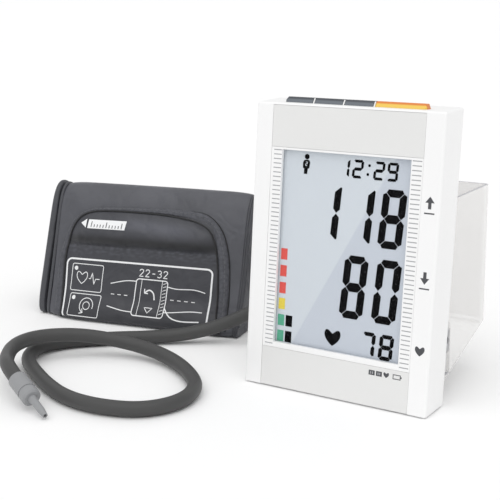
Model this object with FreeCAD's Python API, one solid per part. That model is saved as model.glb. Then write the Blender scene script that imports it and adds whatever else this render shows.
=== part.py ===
import FreeCAD, Part
import math
import os

# Desk blood pressure monitor: a display slab that leans back, a clear cuff holder behind it,
# and the rolled arm cuff with its air hose and plug lying beside it. Millimetres, +Z up, +Y to
# the back, origin on the table under the middle of the stand.

Vec = FreeCAD.Vector

# Fits shared by all pieces
fit_gap = 0.15
slide_gap = 0.25
overrun = 5.0
place_tolerance = 1e-4
turn_tolerance = 1e-6

# Housing slab, in its own axes: X across, Y into the slab, Z up its face
slab_width = 111.0
slab_height = 157.5
slab_depth = 21.6
lean_deg = 6.2
wall = 2.0
floor_thickness = 2.2
edge_round = 1.4
setback = 31.0
stand_height = 0.8

# Face: two grey panels and a white bezel set in one shallow recess
cheek_width = 10.7
face_recess = 1.0
face_sink = 0.12
face_top_lip = 1.0
lower_panel_top = 22.8
upper_panel_height = 22.45
bezel_side = 6.6
bezel_low = 3.2
bezel_top = 1.3

# Display stack behind the window
lens_margin = 1.6
lens_thickness = 1.0
lcd_thickness = 1.5
backlight_thickness = 1.6
frame_wall = 1.2
frame_back = 0.9
frame_slot_width_share = 0.30
frame_slot_height_share = 0.26
frame_slot_out_share = 0.18
frame_slot_up_share = 0.19
frame_post_radius = 2.2
frame_post_height = 0.9

# Main board and what is soldered to it
board_side = 2.8
board_low = 40.0
board_tray_gap = 5.5
board_thickness = 1.4
board_post_inset = 6.0
chip_size = 10.0
chip_thickness = 1.5
chip_pitch = 14.0
chip_count = 3
buzzer_radius = 6.0
buzzer_height = 4.2
buzzer_hole_radius = 1.0
sensor_size = 9.0
sensor_thickness = 4.0
sensor_nipple_radius = 1.4
sensor_nipple_length = 3.5

# Keys in the top face
key_gap = 1.2
key_row_left_inset = 14.3
key_row_right_inset = 12.6
key_width_shares = (0.2176, 0.2088, 0.2088, 0.3648)
key_front = 4.6
key_depth = 6.4
key_proud = 3.5
key_slope_run = 1.7
key_face_height = 0.5
key_travel = 1.0
key_flange_reach = 1.1
key_flange_thickness = 1.5
key_round = 0.5
key_end_round = 2.8
key_fin_drop = 0.3
stem_radius = 1.45
stem_reach = 6.0
switch_size = 6.2
switch_height = 4.0
switch_bore_gap = 0.3
key_board_thickness = 1.4
key_board_margin = 2.0
key_board_rest = 1.6
key_board_rest_width = 3.0

# Battery bay behind the display's upper end: four small cells in two rows
cell_radius = 5.25
cell_length = 44.5
cell_gap = 0.3
cell_button_radius = 1.9
cell_button_length = 0.8
contact_thickness = 0.4
contact_size = 8.0
contact_spring_length = 3.0
contact_spring_radius = 3.2
contact_tip_radius = 1.6
tray_rise = 2.1
tray_wall = 1.2
tray_side_room = 0.6
cell_rows = 2
tray_floor = 0.8
tray_floor_gap = 0.2

# Sliding battery door, the upper part of the back
door_height = 44.1
door_thickness = 1.8
door_tongue = 1.2
door_tongue_thickness = 0.8
door_ledge_depth = 1.6
grip_count = 5
grip_width = 24.0
grip_height = 1.4
grip_pitch = 3.2
grip_proud = 0.5
grip_low = 8.0

# Air pump, valve and the tubes between them, in the foot of the slab
pump_axis_in = 10.5
pump_axis_up = 14.2
motor_radius = 6.9
motor_length = 28.0
motor_side = 7.0
motor_boss_radius = 3.0
motor_boss_length = 2.0
sleeve_radius = 8.1
sleeve_length = 18.0
sleeve_inset = 5.0
pump_head_size = 14.6
pump_head_length = 15.0
pump_head_round = 2.0
nipple_radius = 1.6
nipple_length = 4.0
manifold_size = 9.0
manifold_length = 8.0
valve_radius = 5.6
valve_length = 17.0
cradle_thickness = 2.2
cradle_count = 2
cradle_pitch = 10.0
air_tube_radius = 2.6
air_tube_share = 0.45

# Screws: pan heads in round seats, shanks in pilot holes
screw_head_radius = 2.3
screw_head_height = 1.4
screw_shank_radius = 1.0
screw_length = 9.0
boss_radius = 3.2
boss_side_inset = 2.8
boss_low = 30.0
boss_under_door = 9.4
rear_boss_height = 4.0

# Clear cuff holder behind the slab
holder_side_inset = 4.2
holder_back = 59.7
holder_under_door = 2.0
holder_wall = 1.9
holder_foot_front = 4.7
holder_foot_back = 28.6
holder_shelf_front = 50.5
holder_shelf_drop_deg = 18.0
holder_round = 3.0
holder_heel_round = 2.0
holder_step = 0.5
holder_band_stop = 13.0
slot_front = 10.9
slot_width = 6.0
slot_low = 12.5
slot_high = 37.8
holder_screw_inset = 15.3
holder_screw_low = 60.0
holder_screw_under_door = 15.4

# Air socket that fills the upper part of the slot in the holder's side
socket_nose_height = 12.4
socket_nose_sink = 0.6
socket_body_height = 17.0
socket_body_length = 15.0
socket_body_back = 4.0
socket_bore_radius = 2.1
socket_bore_length = 13.0

# Foot that carries the holder's weight, and rubber pads
foot_side_inset = 17.3
foot_back = 31.0
foot_thickness = 3.4
foot_flange_height = 20.0
foot_flange_thickness = 2.6
foot_gusset_inset = 10.0
foot_gusset_thickness = 2.4
foot_gusset_length = 22.0
foot_corner = 6.0
foot_screw_inset = 20.0
foot_screw_high = 13.0
pad_length = 16.0
pad_width = 8.0
pad_sink = 1.0
pad_inset = 5.0
pad_side_inset = 13.0
pad_round = 3.6

# Rolled arm cuff, standing on its edge to the left
cuff_left = -244.2
cuff_front = 8.3
cuff_turn_deg = 10.4
cuff_lean_deg = 16.5
cuff_width = 147.0
cuff_height = 86.5
cuff_depth = 57.5
cuff_toe = 6.0
cuff_face_height = 75.8
cuff_draw_lengths = (5.0, 13.0)
cuff_draw_shares = (0.90, 0.965)
cuff_crest_share = 0.59
cuff_shoulder_shares = (0.845, 0.855)
cuff_back_shares = (1.0, 0.46)
cuff_heel_shares = (0.955, 0.065)
cuff_heel_mid_shares = (0.93, 0.018)
cuff_sole_shares = (0.095, 0.86)
cuff_toe_mid_shares = (0.026, 0.014)
roll_edge_width = 3.4
roll_edge_gap = 3.0
roll_edge_proud = 2.2
roll_edge_count = 2

# Closing flap on the cuff's front, with its bound edge
flap_thickness = 2.0
flap_left_low = 14.0
flap_left_high = 21.0
flap_right_high = 122.0
flap_right_low = 134.5
flap_top = 74.0
flap_left_round = 13.0
flap_right_round = 24.0
binding_width = 5.0
binding_proud = 1.1

# Bladder inside the cuff
bladder_side = 15.0
bladder_low = 14.0
bladder_high = 60.0
bladder_skin = 11.0
bladder_thickness = 9.0
bladder_round = 3.0
pocket_gap = 0.3

# Air hose from the cuff to its plug, points on its route in order
hose_diameter = 8.4
hose_run_share = 0.45
gland_heading_deg = -14.6
gland_height = 37.0
gland_in = 50.0
gland_length = 7.0
gland_base_radius = 6.6
gland_mouth_radius = 4.9
gland_sink = 8.0
gland_gap = 0.3
hose_first_run = 17.2
hose_last_run = 13.0
hose_route = (
    (-74.0, 65.0, 36.0),
    (-72.0, 48.0, 32.0),
    (-80.0, 33.0, 25.0),
    (-103.0, 20.0, 12.0),
    (-122.0, 8.0, 6.0),
    (-141.0, -6.0, 4.6),
    (-158.0, -21.0, 4.4),
    (-174.0, -37.0, 4.4),
    (-181.0, -59.0, 4.6),
    (-175.0, -81.0, 4.6),
    (-158.0, -95.0, 4.7),
    (-137.0, -106.0, 4.4),
    (-115.0, -112.0, 4.4),
    (-92.0, -112.0, 4.5),
    (-71.0, -104.0, 4.4),
    (-60.5, -85.0, 4.4),
    (-65.5, -63.0, 4.5),
    (-82.0, -47.0, 4.7),
    (-102.0, -35.0, 5.2),
    (-124.0, -30.0, 7.0),
    (-146.0, -34.0, 10.0),
    (-166.0, -46.0, 13.8),
    (-179.0, -64.0, 14.8),
    (-181.0, -86.0, 14.8),
    (-170.0, -104.0, 15.0),
)
plug_start = (-143.5, -120.6, 12.7)
plug_heading_deg = -21.7
plug_dip_deg = 17.0
plug_radius = 5.2
plug_length = 18.6
plug_ring_length = 5.5
plug_ring_groove = 0.35
plug_groove_width = 1.0
plug_round = 0.9
nozzle_radius = 2.0
nozzle_tip_radius = 1.4
nozzle_length = 16.0
nozzle_taper_length = 5.0
nozzle_bore_radius = 0.9
nozzle_root_radius = 2.5
nozzle_root_length = 4.0

# Places that follow from the sizes above
half_width = slab_width / 2
inner_half = half_width - wall
lean = math.radians(lean_deg)
front_y = -setback
cover_in = slab_depth - wall
door_in = slab_depth - door_thickness
lens_in = wall
lens_end_in = lens_in + lens_thickness
lcd_in = lens_end_in + fit_gap
backlight_in = lcd_in + lcd_thickness
frame_back_in = backlight_in + backlight_thickness
frame_end_in = frame_back_in + frame_back
board_in = frame_end_in + frame_post_height
board_end_in = board_in + board_thickness
face_half = half_width - cheek_width
upper_panel_low = slab_height - face_top_lip - fit_gap - upper_panel_height
window_half = face_half - bezel_side
window_low = lower_panel_top + bezel_low
window_high = upper_panel_low - bezel_top
lens_half = window_half + lens_margin
lens_low = window_low - lens_margin
lens_high = window_high + lens_margin
frame_half = lens_half + fit_gap + frame_wall
frame_low = lens_low - fit_gap - frame_wall
frame_high = lens_high + fit_gap + frame_wall
key_in = key_front + key_depth / 2
key_flange_top = (slab_height + (key_front - key_flange_reach) * math.tan(lean) - floor_thickness
                  - slide_gap)
key_flange_low = key_flange_top - key_flange_thickness
stem_low = key_flange_low - stem_reach
switch_bore_low = stem_low - key_travel - switch_bore_gap
key_board_top = switch_bore_low - key_board_thickness
key_board_low = key_board_top - key_board_thickness
switch_top = key_board_top + switch_height
door_low = slab_height - door_height
tray_low = door_low + tray_rise
tray_in = frame_end_in + tray_floor_gap
cell_in = tray_in + tray_floor + cell_radius
cell_pitch = 2 * cell_radius + cell_gap
bay_length = cell_length + cell_button_length + contact_spring_length + 2 * contact_thickness
bay_pitch = bay_length + tray_wall
cell_columns = int((2 * (inner_half - door_tongue - tray_side_room) - tray_wall) // bay_pitch)
tray_half = (cell_columns * bay_pitch + tray_wall) / 2
tray_high = tray_low + cell_rows * cell_pitch + 2 * tray_wall
tray_back = door_in - slide_gap
board_half = frame_half - board_side
board_high = tray_low - board_tray_gap
boss_high = door_low - boss_under_door
motor_left = motor_side - inner_half
sleeve_left = motor_left + sleeve_inset
pump_head_left = motor_left + motor_length
manifold_left = pump_head_left + pump_head_length + nipple_length
valve_left = manifold_left + manifold_length + nipple_length
holder_half = half_width - holder_side_inset
holder_rim = door_low * math.cos(lean) - slab_depth * math.sin(lean) - holder_under_door
holder_screw_out = holder_half - holder_screw_inset
holder_screw_high = door_low - holder_screw_under_door
foot_half = holder_half - foot_side_inset
foot_gusset_out = foot_half - foot_gusset_inset
foot_screw_out = foot_half - foot_screw_inset
pad_out = half_width - pad_side_inset
cuff_lean = math.radians(cuff_lean_deg)

key_names = ("left_key", "middle_key", "right_key", "start_key")
key_row_left = key_row_left_inset - half_width
key_row_right = half_width - key_row_right_inset
key_caps_width = key_row_right - key_row_left - key_gap * (len(key_names) - 1)
key_widths = tuple(key_caps_width * share for share in key_width_shares)
key_lefts = tuple(key_row_left + sum(key_widths[:i]) + i * key_gap for i in range(len(key_names)))

slab_place = FreeCAD.Placement(Vec(0, front_y, 0), FreeCAD.Rotation(Vec(1, 0, 0), -lean_deg))
cuff_place = FreeCAD.Placement(Vec(cuff_left, cuff_front, 0), FreeCAD.Rotation(Vec(0, 0, 1), cuff_turn_deg))
face_place = cuff_place.multiply(FreeCAD.Placement(Vec(), FreeCAD.Rotation(Vec(1, 0, 0), -cuff_lean_deg)))


def box(x0, x1, y0, y1, z0, z1):
    return Part.makeBox(x1 - x0, y1 - y0, z1 - z0, Vec(x0, y0, z0))


def across(half, y0, y1, z0, z1):
    return box(-half, half, y0, y1, z0, z1)


def rod(radius, start, end):
    return Part.makeCylinder(radius, (end - start).Length, start, end - start)


def cone(radius, end_radius, start, end):
    return Part.makeCone(radius, end_radius, (end - start).Length, start, end - start)


def prism(outline, x0, x1):
    corners = [Vec(x0, y, z) for y, z in outline]
    face = Part.Face(Part.makePolygon(corners + corners[:1]))
    return face.extrude(Vec(x1 - x0, 0, 0))


def joined(shapes):
    return shapes[0].multiFuse(shapes[1:]).removeSplitter()


def rounded(shape, radius, chosen):
    edges = [edge for edge in shape.Edges if chosen(edge)]
    return shape.makeFillet(radius, edges)


def runs_along(edge, direction):
    if not isinstance(edge.Curve, Part.Line):
        return False
    return abs(abs(edge.Curve.Direction.dot(direction)) - 1) < turn_tolerance


def at(value, target):
    return abs(value - target) < place_tolerance


def placed(shape, place):
    copy = shape.copy()
    copy.Placement = place.multiply(copy.Placement)
    return copy


def in_slab(shape):
    return placed(shape, slab_place)


def slab_low(depth):
    return (stand_height + depth * math.sin(lean)) / math.cos(lean)


def slab_top(depth):
    """The slab's top is level, so it climbs along the slab's own axes."""
    return slab_height + depth * math.tan(lean)


def slab_outline(depth, shell, start):
    """Side view of the slab between two depths, within a shell of one thickness above and below."""
    return ((start, slab_low(start) + shell), (depth, slab_low(depth) + shell),
            (depth, slab_top(depth) - shell), (start, slab_top(start) - shell))


def boss_places():
    out = half_width - wall - boss_side_inset
    return [(side * out, up) for side in (-1, 1) for up in (boss_low, boss_high)]


def holder_screw_places():
    return [(side * holder_screw_out, up) for side in (-1, 1) for up in (holder_screw_low, holder_screw_high)]


def foot_screw_places():
    return [(side * foot_screw_out, foot_screw_high) for side in (-1, 1)]


def through(places, radius, y0, y1):
    return [rod(radius, Vec(x, y0, z), Vec(x, y1, z)) for x, z in places]


def screws(places, seat, end):
    made = []
    for x, z in places:
        head = rod(screw_head_radius, Vec(x, seat, z), Vec(x, seat + screw_head_height, z))
        shank = rod(screw_shank_radius, Vec(x, end, z), Vec(x, seat, z))
        made.append(in_slab(joined([head, shank])))
    return made


def cradles(left, radius):
    made = []
    for i in range(cradle_count):
        x = left + i * cradle_pitch
        block = box(x, x + cradle_thickness, wall, cover_in - fit_gap, slab_low(cover_in), pump_axis_up)
        made.append(block.cut(rod(radius + fit_gap, Vec(x - overrun, pump_axis_in, pump_axis_up),
                                  Vec(x + cradle_thickness + overrun, pump_axis_in, pump_axis_up))))
    return made


def pads(grow):
    made = []
    half = pad_length / 2 + grow
    for side in (-1, 1):
        x = side * pad_out
        y = front_y + pad_inset
        pad = box(x - half, x + half, y - grow, y + pad_width + grow, 0, stand_height + pad_sink + grow)
        made.append(rounded(pad, pad_round + grow, lambda e: runs_along(e, Vec(0, 0, 1))))
    return made


def front_cover():
    body = prism(slab_outline(slab_depth, 0, 0), -half_width, half_width)

    def outer_edge(edge):
        centre = edge.CenterOfMass
        upright = runs_along(edge, Vec(0, 0, 1)) and at(centre.y, 0)
        crown = at(centre.z, slab_top(centre.y)) and not at(centre.y, slab_depth)
        return upright or crown

    body = rounded(body, edge_round, outer_edge)
    hollow = prism(slab_outline(slab_depth + overrun, floor_thickness, wall), -inner_half, inner_half)
    recess = across(face_half + fit_gap, -overrun, face_recess, -overrun, slab_height - face_top_lip)
    window = across(window_half, -overrun, wall + overrun, window_low, window_high)
    door_way = across(inner_half, door_in - slide_gap, slab_depth + overrun, door_low, slab_height + overrun)
    key_ways = [key_plan(i, slide_gap, slab_height - wall - overrun, slab_height + overrun)
                for i in range(len(key_names))]
    body = body.cut([hollow, recess, window, door_way] + key_ways)
    extras = key_fins()
    for side in (-1, 1):
        lip = inner_half - door_tongue
        low_x, high_x = sorted((side * lip, side * inner_half))
        lip_in = door_in + door_tongue_thickness + slide_gap
        extras.append(prism(door_outline(lip_in, slab_depth), low_x, high_x))
        extras.append(box(low_x, high_x, door_in - slide_gap - door_ledge_depth, door_in - slide_gap,
                          door_low, slab_height))
    for x, z in boss_places():
        extras.append(rod(boss_radius, Vec(x, wall, z), Vec(x, cover_in, z)))
    rest_left = key_row_left - key_board_margin
    rest_right = key_row_right + key_board_margin
    rest_last = rest_right - key_board_rest_width
    for x in (rest_left, (rest_left + rest_last) / 2, rest_last):
        extras.append(box(x, x + key_board_rest_width, wall, key_in, key_board_low - key_board_rest,
                          key_board_low))
    extras += cradles(sleeve_left + cradle_thickness, sleeve_radius)
    extras += cradles(valve_left + cradle_thickness, valve_radius)
    body = joined([body] + extras)
    body = body.cut(through(boss_places(), screw_shank_radius + fit_gap, wall + face_recess, slab_depth))
    return in_slab(body).cut(pads(fit_gap))


def rear_cover():
    half = inner_half - fit_gap
    low = slab_low(slab_depth) + floor_thickness + fit_gap
    plate = across(half, cover_in, slab_depth, low, door_low - slide_gap)
    bosses = through(holder_screw_places(), boss_radius, cover_in - rear_boss_height, cover_in)
    plate = joined([plate] + bosses)
    seats = through(boss_places(), screw_head_radius + fit_gap, slab_depth - screw_head_height,
                    slab_depth + overrun)
    holes = through(boss_places(), screw_shank_radius + fit_gap, cover_in - overrun, slab_depth)
    pilots = through(holder_screw_places() + foot_screw_places(), screw_shank_radius + fit_gap,
                     cover_in - rear_boss_height - overrun, slab_depth + overrun)
    port = rod(air_tube_radius + fit_gap, Vec(tube_end_x(), cover_in - overrun, tube_end_z()),
               Vec(tube_end_x(), slab_depth + overrun, tube_end_z()))
    return in_slab(plate.cut(seats + holes + pilots + [port]))


def face_plate(low, top):
    return across(face_half, face_sink, face_recess, low, top)


def upper_face_panel():
    return in_slab(face_plate(upper_panel_low, slab_height - face_top_lip - fit_gap))


def lower_face_panel():
    return in_slab(face_plate(slab_low(face_recess), lower_panel_top))


def display_bezel():
    plate = face_plate(lower_panel_top + fit_gap, upper_panel_low - fit_gap)
    window = across(window_half, -overrun, overrun, window_low, window_high)
    return in_slab(plate.cut(window))


def display_window():
    return in_slab(across(lens_half, lens_in, lens_end_in, lens_low, lens_high))


def lcd_panel():
    return in_slab(across(lens_half, lcd_in, backlight_in, lens_low, lens_high))


def lcd_backlight():
    return in_slab(across(lens_half, backlight_in, frame_back_in, lens_low, lens_high))


def board_posts(radius, y0, y1):
    half = board_half - board_post_inset
    places = [(side * half, up) for side in (-1, 1)
              for up in (board_low + board_post_inset, board_high - board_post_inset)]
    return through(places, radius, y0, y1)


def lcd_frame():
    body = across(frame_half, lens_in, frame_end_in, frame_low, frame_high)
    pocket = across(lens_half + fit_gap, lens_in - overrun, frame_back_in, lens_low - fit_gap,
                    lens_high + fit_gap)
    middle = (frame_low + frame_high) / 2
    height = frame_high - frame_low
    slot_half = frame_half * frame_slot_width_share
    slot_half_height = height * frame_slot_height_share / 2
    slots = []
    for side in (-1, 1):
        x = side * 2 * frame_half * frame_slot_out_share
        for z in (middle - height * frame_slot_up_share, middle + height * frame_slot_up_share):
            slots.append(box(x - slot_half, x + slot_half, frame_back_in - overrun, frame_end_in + overrun,
                             z - slot_half_height, z + slot_half_height))
    body = body.cut([pocket] + slots)
    return in_slab(joined([body] + board_posts(frame_post_radius, frame_end_in, board_in)))


def main_board():
    return in_slab(across(board_half, board_in, board_end_in, board_low, board_high))


def board_chips():
    middle = (board_low + board_high) / 2
    chips = []
    for i in range(chip_count):
        x = (i - (chip_count - 1) / 2) * chip_pitch
        chip = box(x - chip_size / 2, x + chip_size / 2, board_end_in, board_end_in + chip_thickness,
                   middle - chip_size / 2, middle + chip_size / 2)
        chips.append(in_slab(chip))
    return chips


def buzzer():
    x = 2 * buzzer_radius - board_half
    z = board_high - 2 * buzzer_radius
    can = rod(buzzer_radius, Vec(x, board_end_in, z), Vec(x, board_end_in + buzzer_height, z))
    hole = rod(buzzer_hole_radius, Vec(x, board_end_in + buzzer_height / 2, z),
               Vec(x, board_end_in + buzzer_height + overrun, z))
    return in_slab(can.cut(hole))


def pressure_sensor():
    x = board_half - 2 * sensor_size
    z = board_low + sensor_size
    body = box(x - sensor_size / 2, x + sensor_size / 2, board_end_in, board_end_in + sensor_thickness,
               z - sensor_size / 2, z + sensor_size / 2)
    top = board_end_in + sensor_thickness
    nipple = rod(sensor_nipple_radius, Vec(x, top, z), Vec(x, top + sensor_nipple_length, z))
    return in_slab(joined([body, nipple]))


def key_board():
    left = key_row_left - key_board_margin
    right = key_row_right + key_board_margin
    return in_slab(box(left, right, wall + fit_gap, key_front + key_depth, key_board_low, key_board_top))


def key_switches():
    made = []
    for left, width in zip(key_lefts, key_widths):
        x = left + width / 2
        half = switch_size / 2
        body = box(x - half, x + half, key_in - half, key_in + half, key_board_top, switch_top)
        bore = rod(stem_radius + slide_gap, Vec(x, key_in, switch_bore_low),
                   Vec(x, key_in, switch_top + overrun))
        made.append(in_slab(body.cut(bore)))
    return made


def key_plan(i, grow, low, top):
    """Upright block over one key's plan, with round corners at the outer ends of the row."""
    left = key_lefts[i] - grow
    right = key_lefts[i] + key_widths[i] + grow
    block = box(left, right, key_front - grow, key_front + key_depth + grow, low, top)
    outer = []
    if i == 0:
        outer.append(left)
    if i == len(key_names) - 1:
        outer.append(right)

    def end_corner(edge):
        return runs_along(edge, Vec(0, 0, 1)) and any(at(edge.CenterOfMass.x, x) for x in outer)

    return rounded(block, key_end_round + grow, end_corner) if outer else block


def key_profile(low, drop):
    """Side view of the key row: an upright front, a sloped brow and a flat crest."""
    back = key_front + key_depth
    crest = slab_height + key_proud - drop
    brow = slab_height + key_face_height - drop
    return ((key_front, low), (back, low), (back, crest), (key_front + key_slope_run, crest),
            (key_front, brow))


def key_fins():
    """Thin fins of the housing between the keys, a little below their crests."""
    fins = []
    for left, width, following in zip(key_lefts, key_widths, key_lefts[1:]):
        fins.append(prism(key_profile(slab_height - wall, key_fin_drop), left + width + slide_gap,
                          following - slide_gap))
    return fins


def key_end_slopes(i):
    """What the sloped brow takes off the outer ends of the row."""
    brow = slab_height + key_face_height
    made = []
    for last, x, inward in ((0, key_lefts[0], 1), (len(key_names) - 1, key_row_right, -1)):
        if i == last:
            reach = x - inward * overrun
            top = brow + key_proud + overrun
            lean_in = x + inward * key_slope_run * (top - brow) / (key_proud - key_face_height)
            corners = [Vec(u, 0, v) for u, v in ((x, brow), (lean_in, top), (reach, top), (reach, brow))]
            side = Part.Face(Part.makePolygon(corners + corners[:1]))
            made.append(side.extrude(Vec(0, key_front + key_depth + overrun, 0)))
    return made


def key(i):
    left = key_lefts[i]
    width = key_widths[i]
    back = key_front + key_depth
    cap = prism(key_profile(key_flange_top, 0), left, left + width)
    cap = cap.common(key_plan(i, 0, key_flange_top, slab_height + key_proud + overrun))
    cap = cap.cut(key_end_slopes(i))

    def crest(edge):
        return edge.BoundBox.ZMin > slab_height

    cap = rounded(cap, key_round, crest)
    flange = box(left, left + width, key_front - key_flange_reach, back + key_flange_reach,
                 key_flange_low, key_flange_top)
    x = left + width / 2
    stem = rod(stem_radius, Vec(x, key_in, stem_low), Vec(x, key_in, key_flange_low))
    return in_slab(joined([cap, flange, stem]))


def bay_lefts():
    return [tray_wall - tray_half + i * bay_pitch for i in range(cell_columns)]


def cell_places():
    """Left end of its bay, height and way round of each cell, the rows turned about in turn."""
    rows = [tray_low + tray_wall + cell_pitch * (i + 1 / 2) for i in range(cell_rows)]
    return [(left, z, 1 if i % 2 else -1) for left in bay_lefts() for i, z in enumerate(rows)]


def battery_tray():
    body = across(tray_half, tray_in, tray_back, tray_low, tray_high)
    bays = [box(left, left + bay_length, tray_in + tray_floor, tray_back + overrun, tray_low + tray_wall,
                tray_high - tray_wall) for left in bay_lefts()]
    return in_slab(body.cut(bays))


def batteries():
    made = []
    for left, z, way in cell_places():
        before = contact_spring_length if way > 0 else cell_button_length
        start = Vec(left + contact_thickness + before, cell_in, z)
        end = start + Vec(cell_length, 0, 0)
        tip = end if way > 0 else start
        body = rod(cell_radius, start, end)
        button = rod(cell_button_radius, tip, tip + Vec(way * cell_button_length, 0, 0))
        made.append(in_slab(joined([body, button])))
    return made


def contact(x, z, inward, has_spring):
    """Leaf on a bay's end wall; the negative end's leaf carries a sprung cone."""
    low_x, high_x = sorted((x, x + inward * contact_thickness))
    leaf = box(low_x, high_x, cell_in - contact_size / 2, cell_in + contact_size / 2,
               z - contact_size / 2, z + contact_size / 2)
    if not has_spring:
        return leaf
    foot = Vec(x + inward * contact_thickness, cell_in, z)
    tip = foot + Vec(inward * contact_spring_length, 0, 0)
    spring = cone(contact_spring_radius, contact_tip_radius, foot, tip)
    return joined([leaf, spring])


def battery_contacts():
    made = []
    for left, z, way in cell_places():
        made.append(in_slab(contact(left, z, 1, way > 0)))
        made.append(in_slab(contact(left + bay_length, z, -1, way < 0)))
    return made


def door_outline(near, far):
    """Side view of the door's height between two depths, up to the slab's level top."""
    return ((near, door_low), (far, door_low), (far, slab_top(far)), (near, slab_top(near)))


def battery_door():
    tongue_half = inner_half - slide_gap
    skin_half = inner_half - door_tongue - slide_gap
    tongue_out = door_in + door_tongue_thickness
    tongue = prism(door_outline(door_in, tongue_out), -tongue_half, tongue_half)
    skin = prism(door_outline(tongue_out, slab_depth), -skin_half, skin_half)
    ribs = []
    for i in range(grip_count):
        z = door_low + grip_low + i * grip_pitch
        half = grip_width / 2 * (1 - i / (2 * grip_count))
        ribs.append(prism(((slab_depth, z), (slab_depth + grip_proud, z + grip_height / 4),
                           (slab_depth + grip_proud, z + 3 * grip_height / 4), (slab_depth, z + grip_height)),
                          -half, half))
    return in_slab(joined([tongue, skin] + ribs))


def pump_motor():
    start = Vec(motor_left, pump_axis_in, pump_axis_up)
    end = Vec(pump_head_left, pump_axis_in, pump_axis_up)
    boss = rod(motor_boss_radius, start - Vec(motor_boss_length, 0, 0), start)
    can = rod(motor_radius, start, end)
    return in_slab(joined([can, boss]))


def pump_sleeve():
    start = Vec(sleeve_left, pump_axis_in, pump_axis_up)
    end = start + Vec(sleeve_length, 0, 0)
    ring = rod(sleeve_radius, start, end).cut(rod(motor_radius + fit_gap / 2, start, end))
    return in_slab(ring)


def pump_head():
    half = pump_head_size / 2
    right = pump_head_left + pump_head_length
    block = box(pump_head_left, right, pump_axis_in - half, pump_axis_in + half, pump_axis_up - half,
                pump_axis_up + half)
    block = rounded(block, pump_head_round, lambda e: runs_along(e, Vec(1, 0, 0)))
    nipple = rod(nipple_radius, Vec(right, pump_axis_in, pump_axis_up),
                 Vec(right + nipple_length, pump_axis_in, pump_axis_up))
    return in_slab(joined([block, nipple]))


def air_manifold():
    half = manifold_size / 2
    right = manifold_left + manifold_length
    block = box(manifold_left, right, pump_axis_in - half, pump_axis_in + half, pump_axis_up - half,
                pump_axis_up + half)
    nipple = rod(nipple_radius, Vec(right, pump_axis_in, pump_axis_up),
                 Vec(right + nipple_length, pump_axis_in, pump_axis_up))
    return in_slab(joined([block, nipple]))


def deflation_valve():
    start = Vec(valve_left, pump_axis_in, pump_axis_up)
    end = start + Vec(valve_length, 0, 0)
    return in_slab(rod(valve_radius, start, end))


def tube_end_x():
    return holder_half - holder_wall - socket_body_length / 2


def tube_end_z():
    return (socket_middle() - slab_depth * math.sin(-lean)) / math.cos(lean)


def socket_middle():
    return slot_high - socket_nose_height / 2 - fit_gap


def air_tube_points():
    x = manifold_left + manifold_length / 2
    top = pump_axis_up + manifold_size / 2
    z = tube_end_z()
    middle_x = (x + tube_end_x()) / 2
    deep = (board_end_in + cover_in) / 2
    return ((x, pump_axis_in, top), (x, pump_axis_in, (top + z) / 2), (middle_x, deep, z),
            (tube_end_x(), deep, z), (tube_end_x(), slab_depth, z))


def rounded_path(points, share, report=None):
    """Straight runs through the points, joined by arcs as large as the runs allow."""
    points = [Vec(*p) for p in points]
    edges = []
    last = points[0]
    for before, corner, after in zip(points, points[1:], points[2:]):
        arriving = (corner - before).normalize()
        leaving = (after - corner).normalize()
        turn = arriving.getAngle(leaving)
        reach = share * min((corner - before).Length, (after - corner).Length)
        radius = reach / math.tan(turn / 2)
        start = corner - arriving * reach
        end = corner + leaving * reach
        inward = (leaving - arriving).normalize()
        middle = corner + inward * (radius / math.cos(turn / 2) - radius)
        edges.append(Part.LineSegment(last, start).toShape())
        edges.append(Part.Arc(start, middle, end).toShape())
        last = end
        if report is not None:
            report.append(radius)
    edges.append(Part.LineSegment(last, points[-1]).toShape())
    return Part.Wire(edges)


def tube(points, radius, share, report=None):
    path = rounded_path(points, share, report)
    first = Vec(*points[0])
    ring = Part.Wire(Part.makeCircle(radius, first, Vec(*points[1]) - first))
    return path.makePipeShell([ring], True, False), path.Length


def air_tube():
    solid, length = tube(air_tube_points(), air_tube_radius, air_tube_share)
    return in_slab(solid)


def slab_back(z):
    """Depth of the slab's back face at a height above the table."""
    return front_y + slab_depth / math.cos(lean) + z * math.tan(lean)


def holder_shelf(y):
    run = y - slab_back(holder_shelf_front)
    return holder_shelf_front - run * math.tan(math.radians(holder_shelf_drop_deg))


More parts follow.
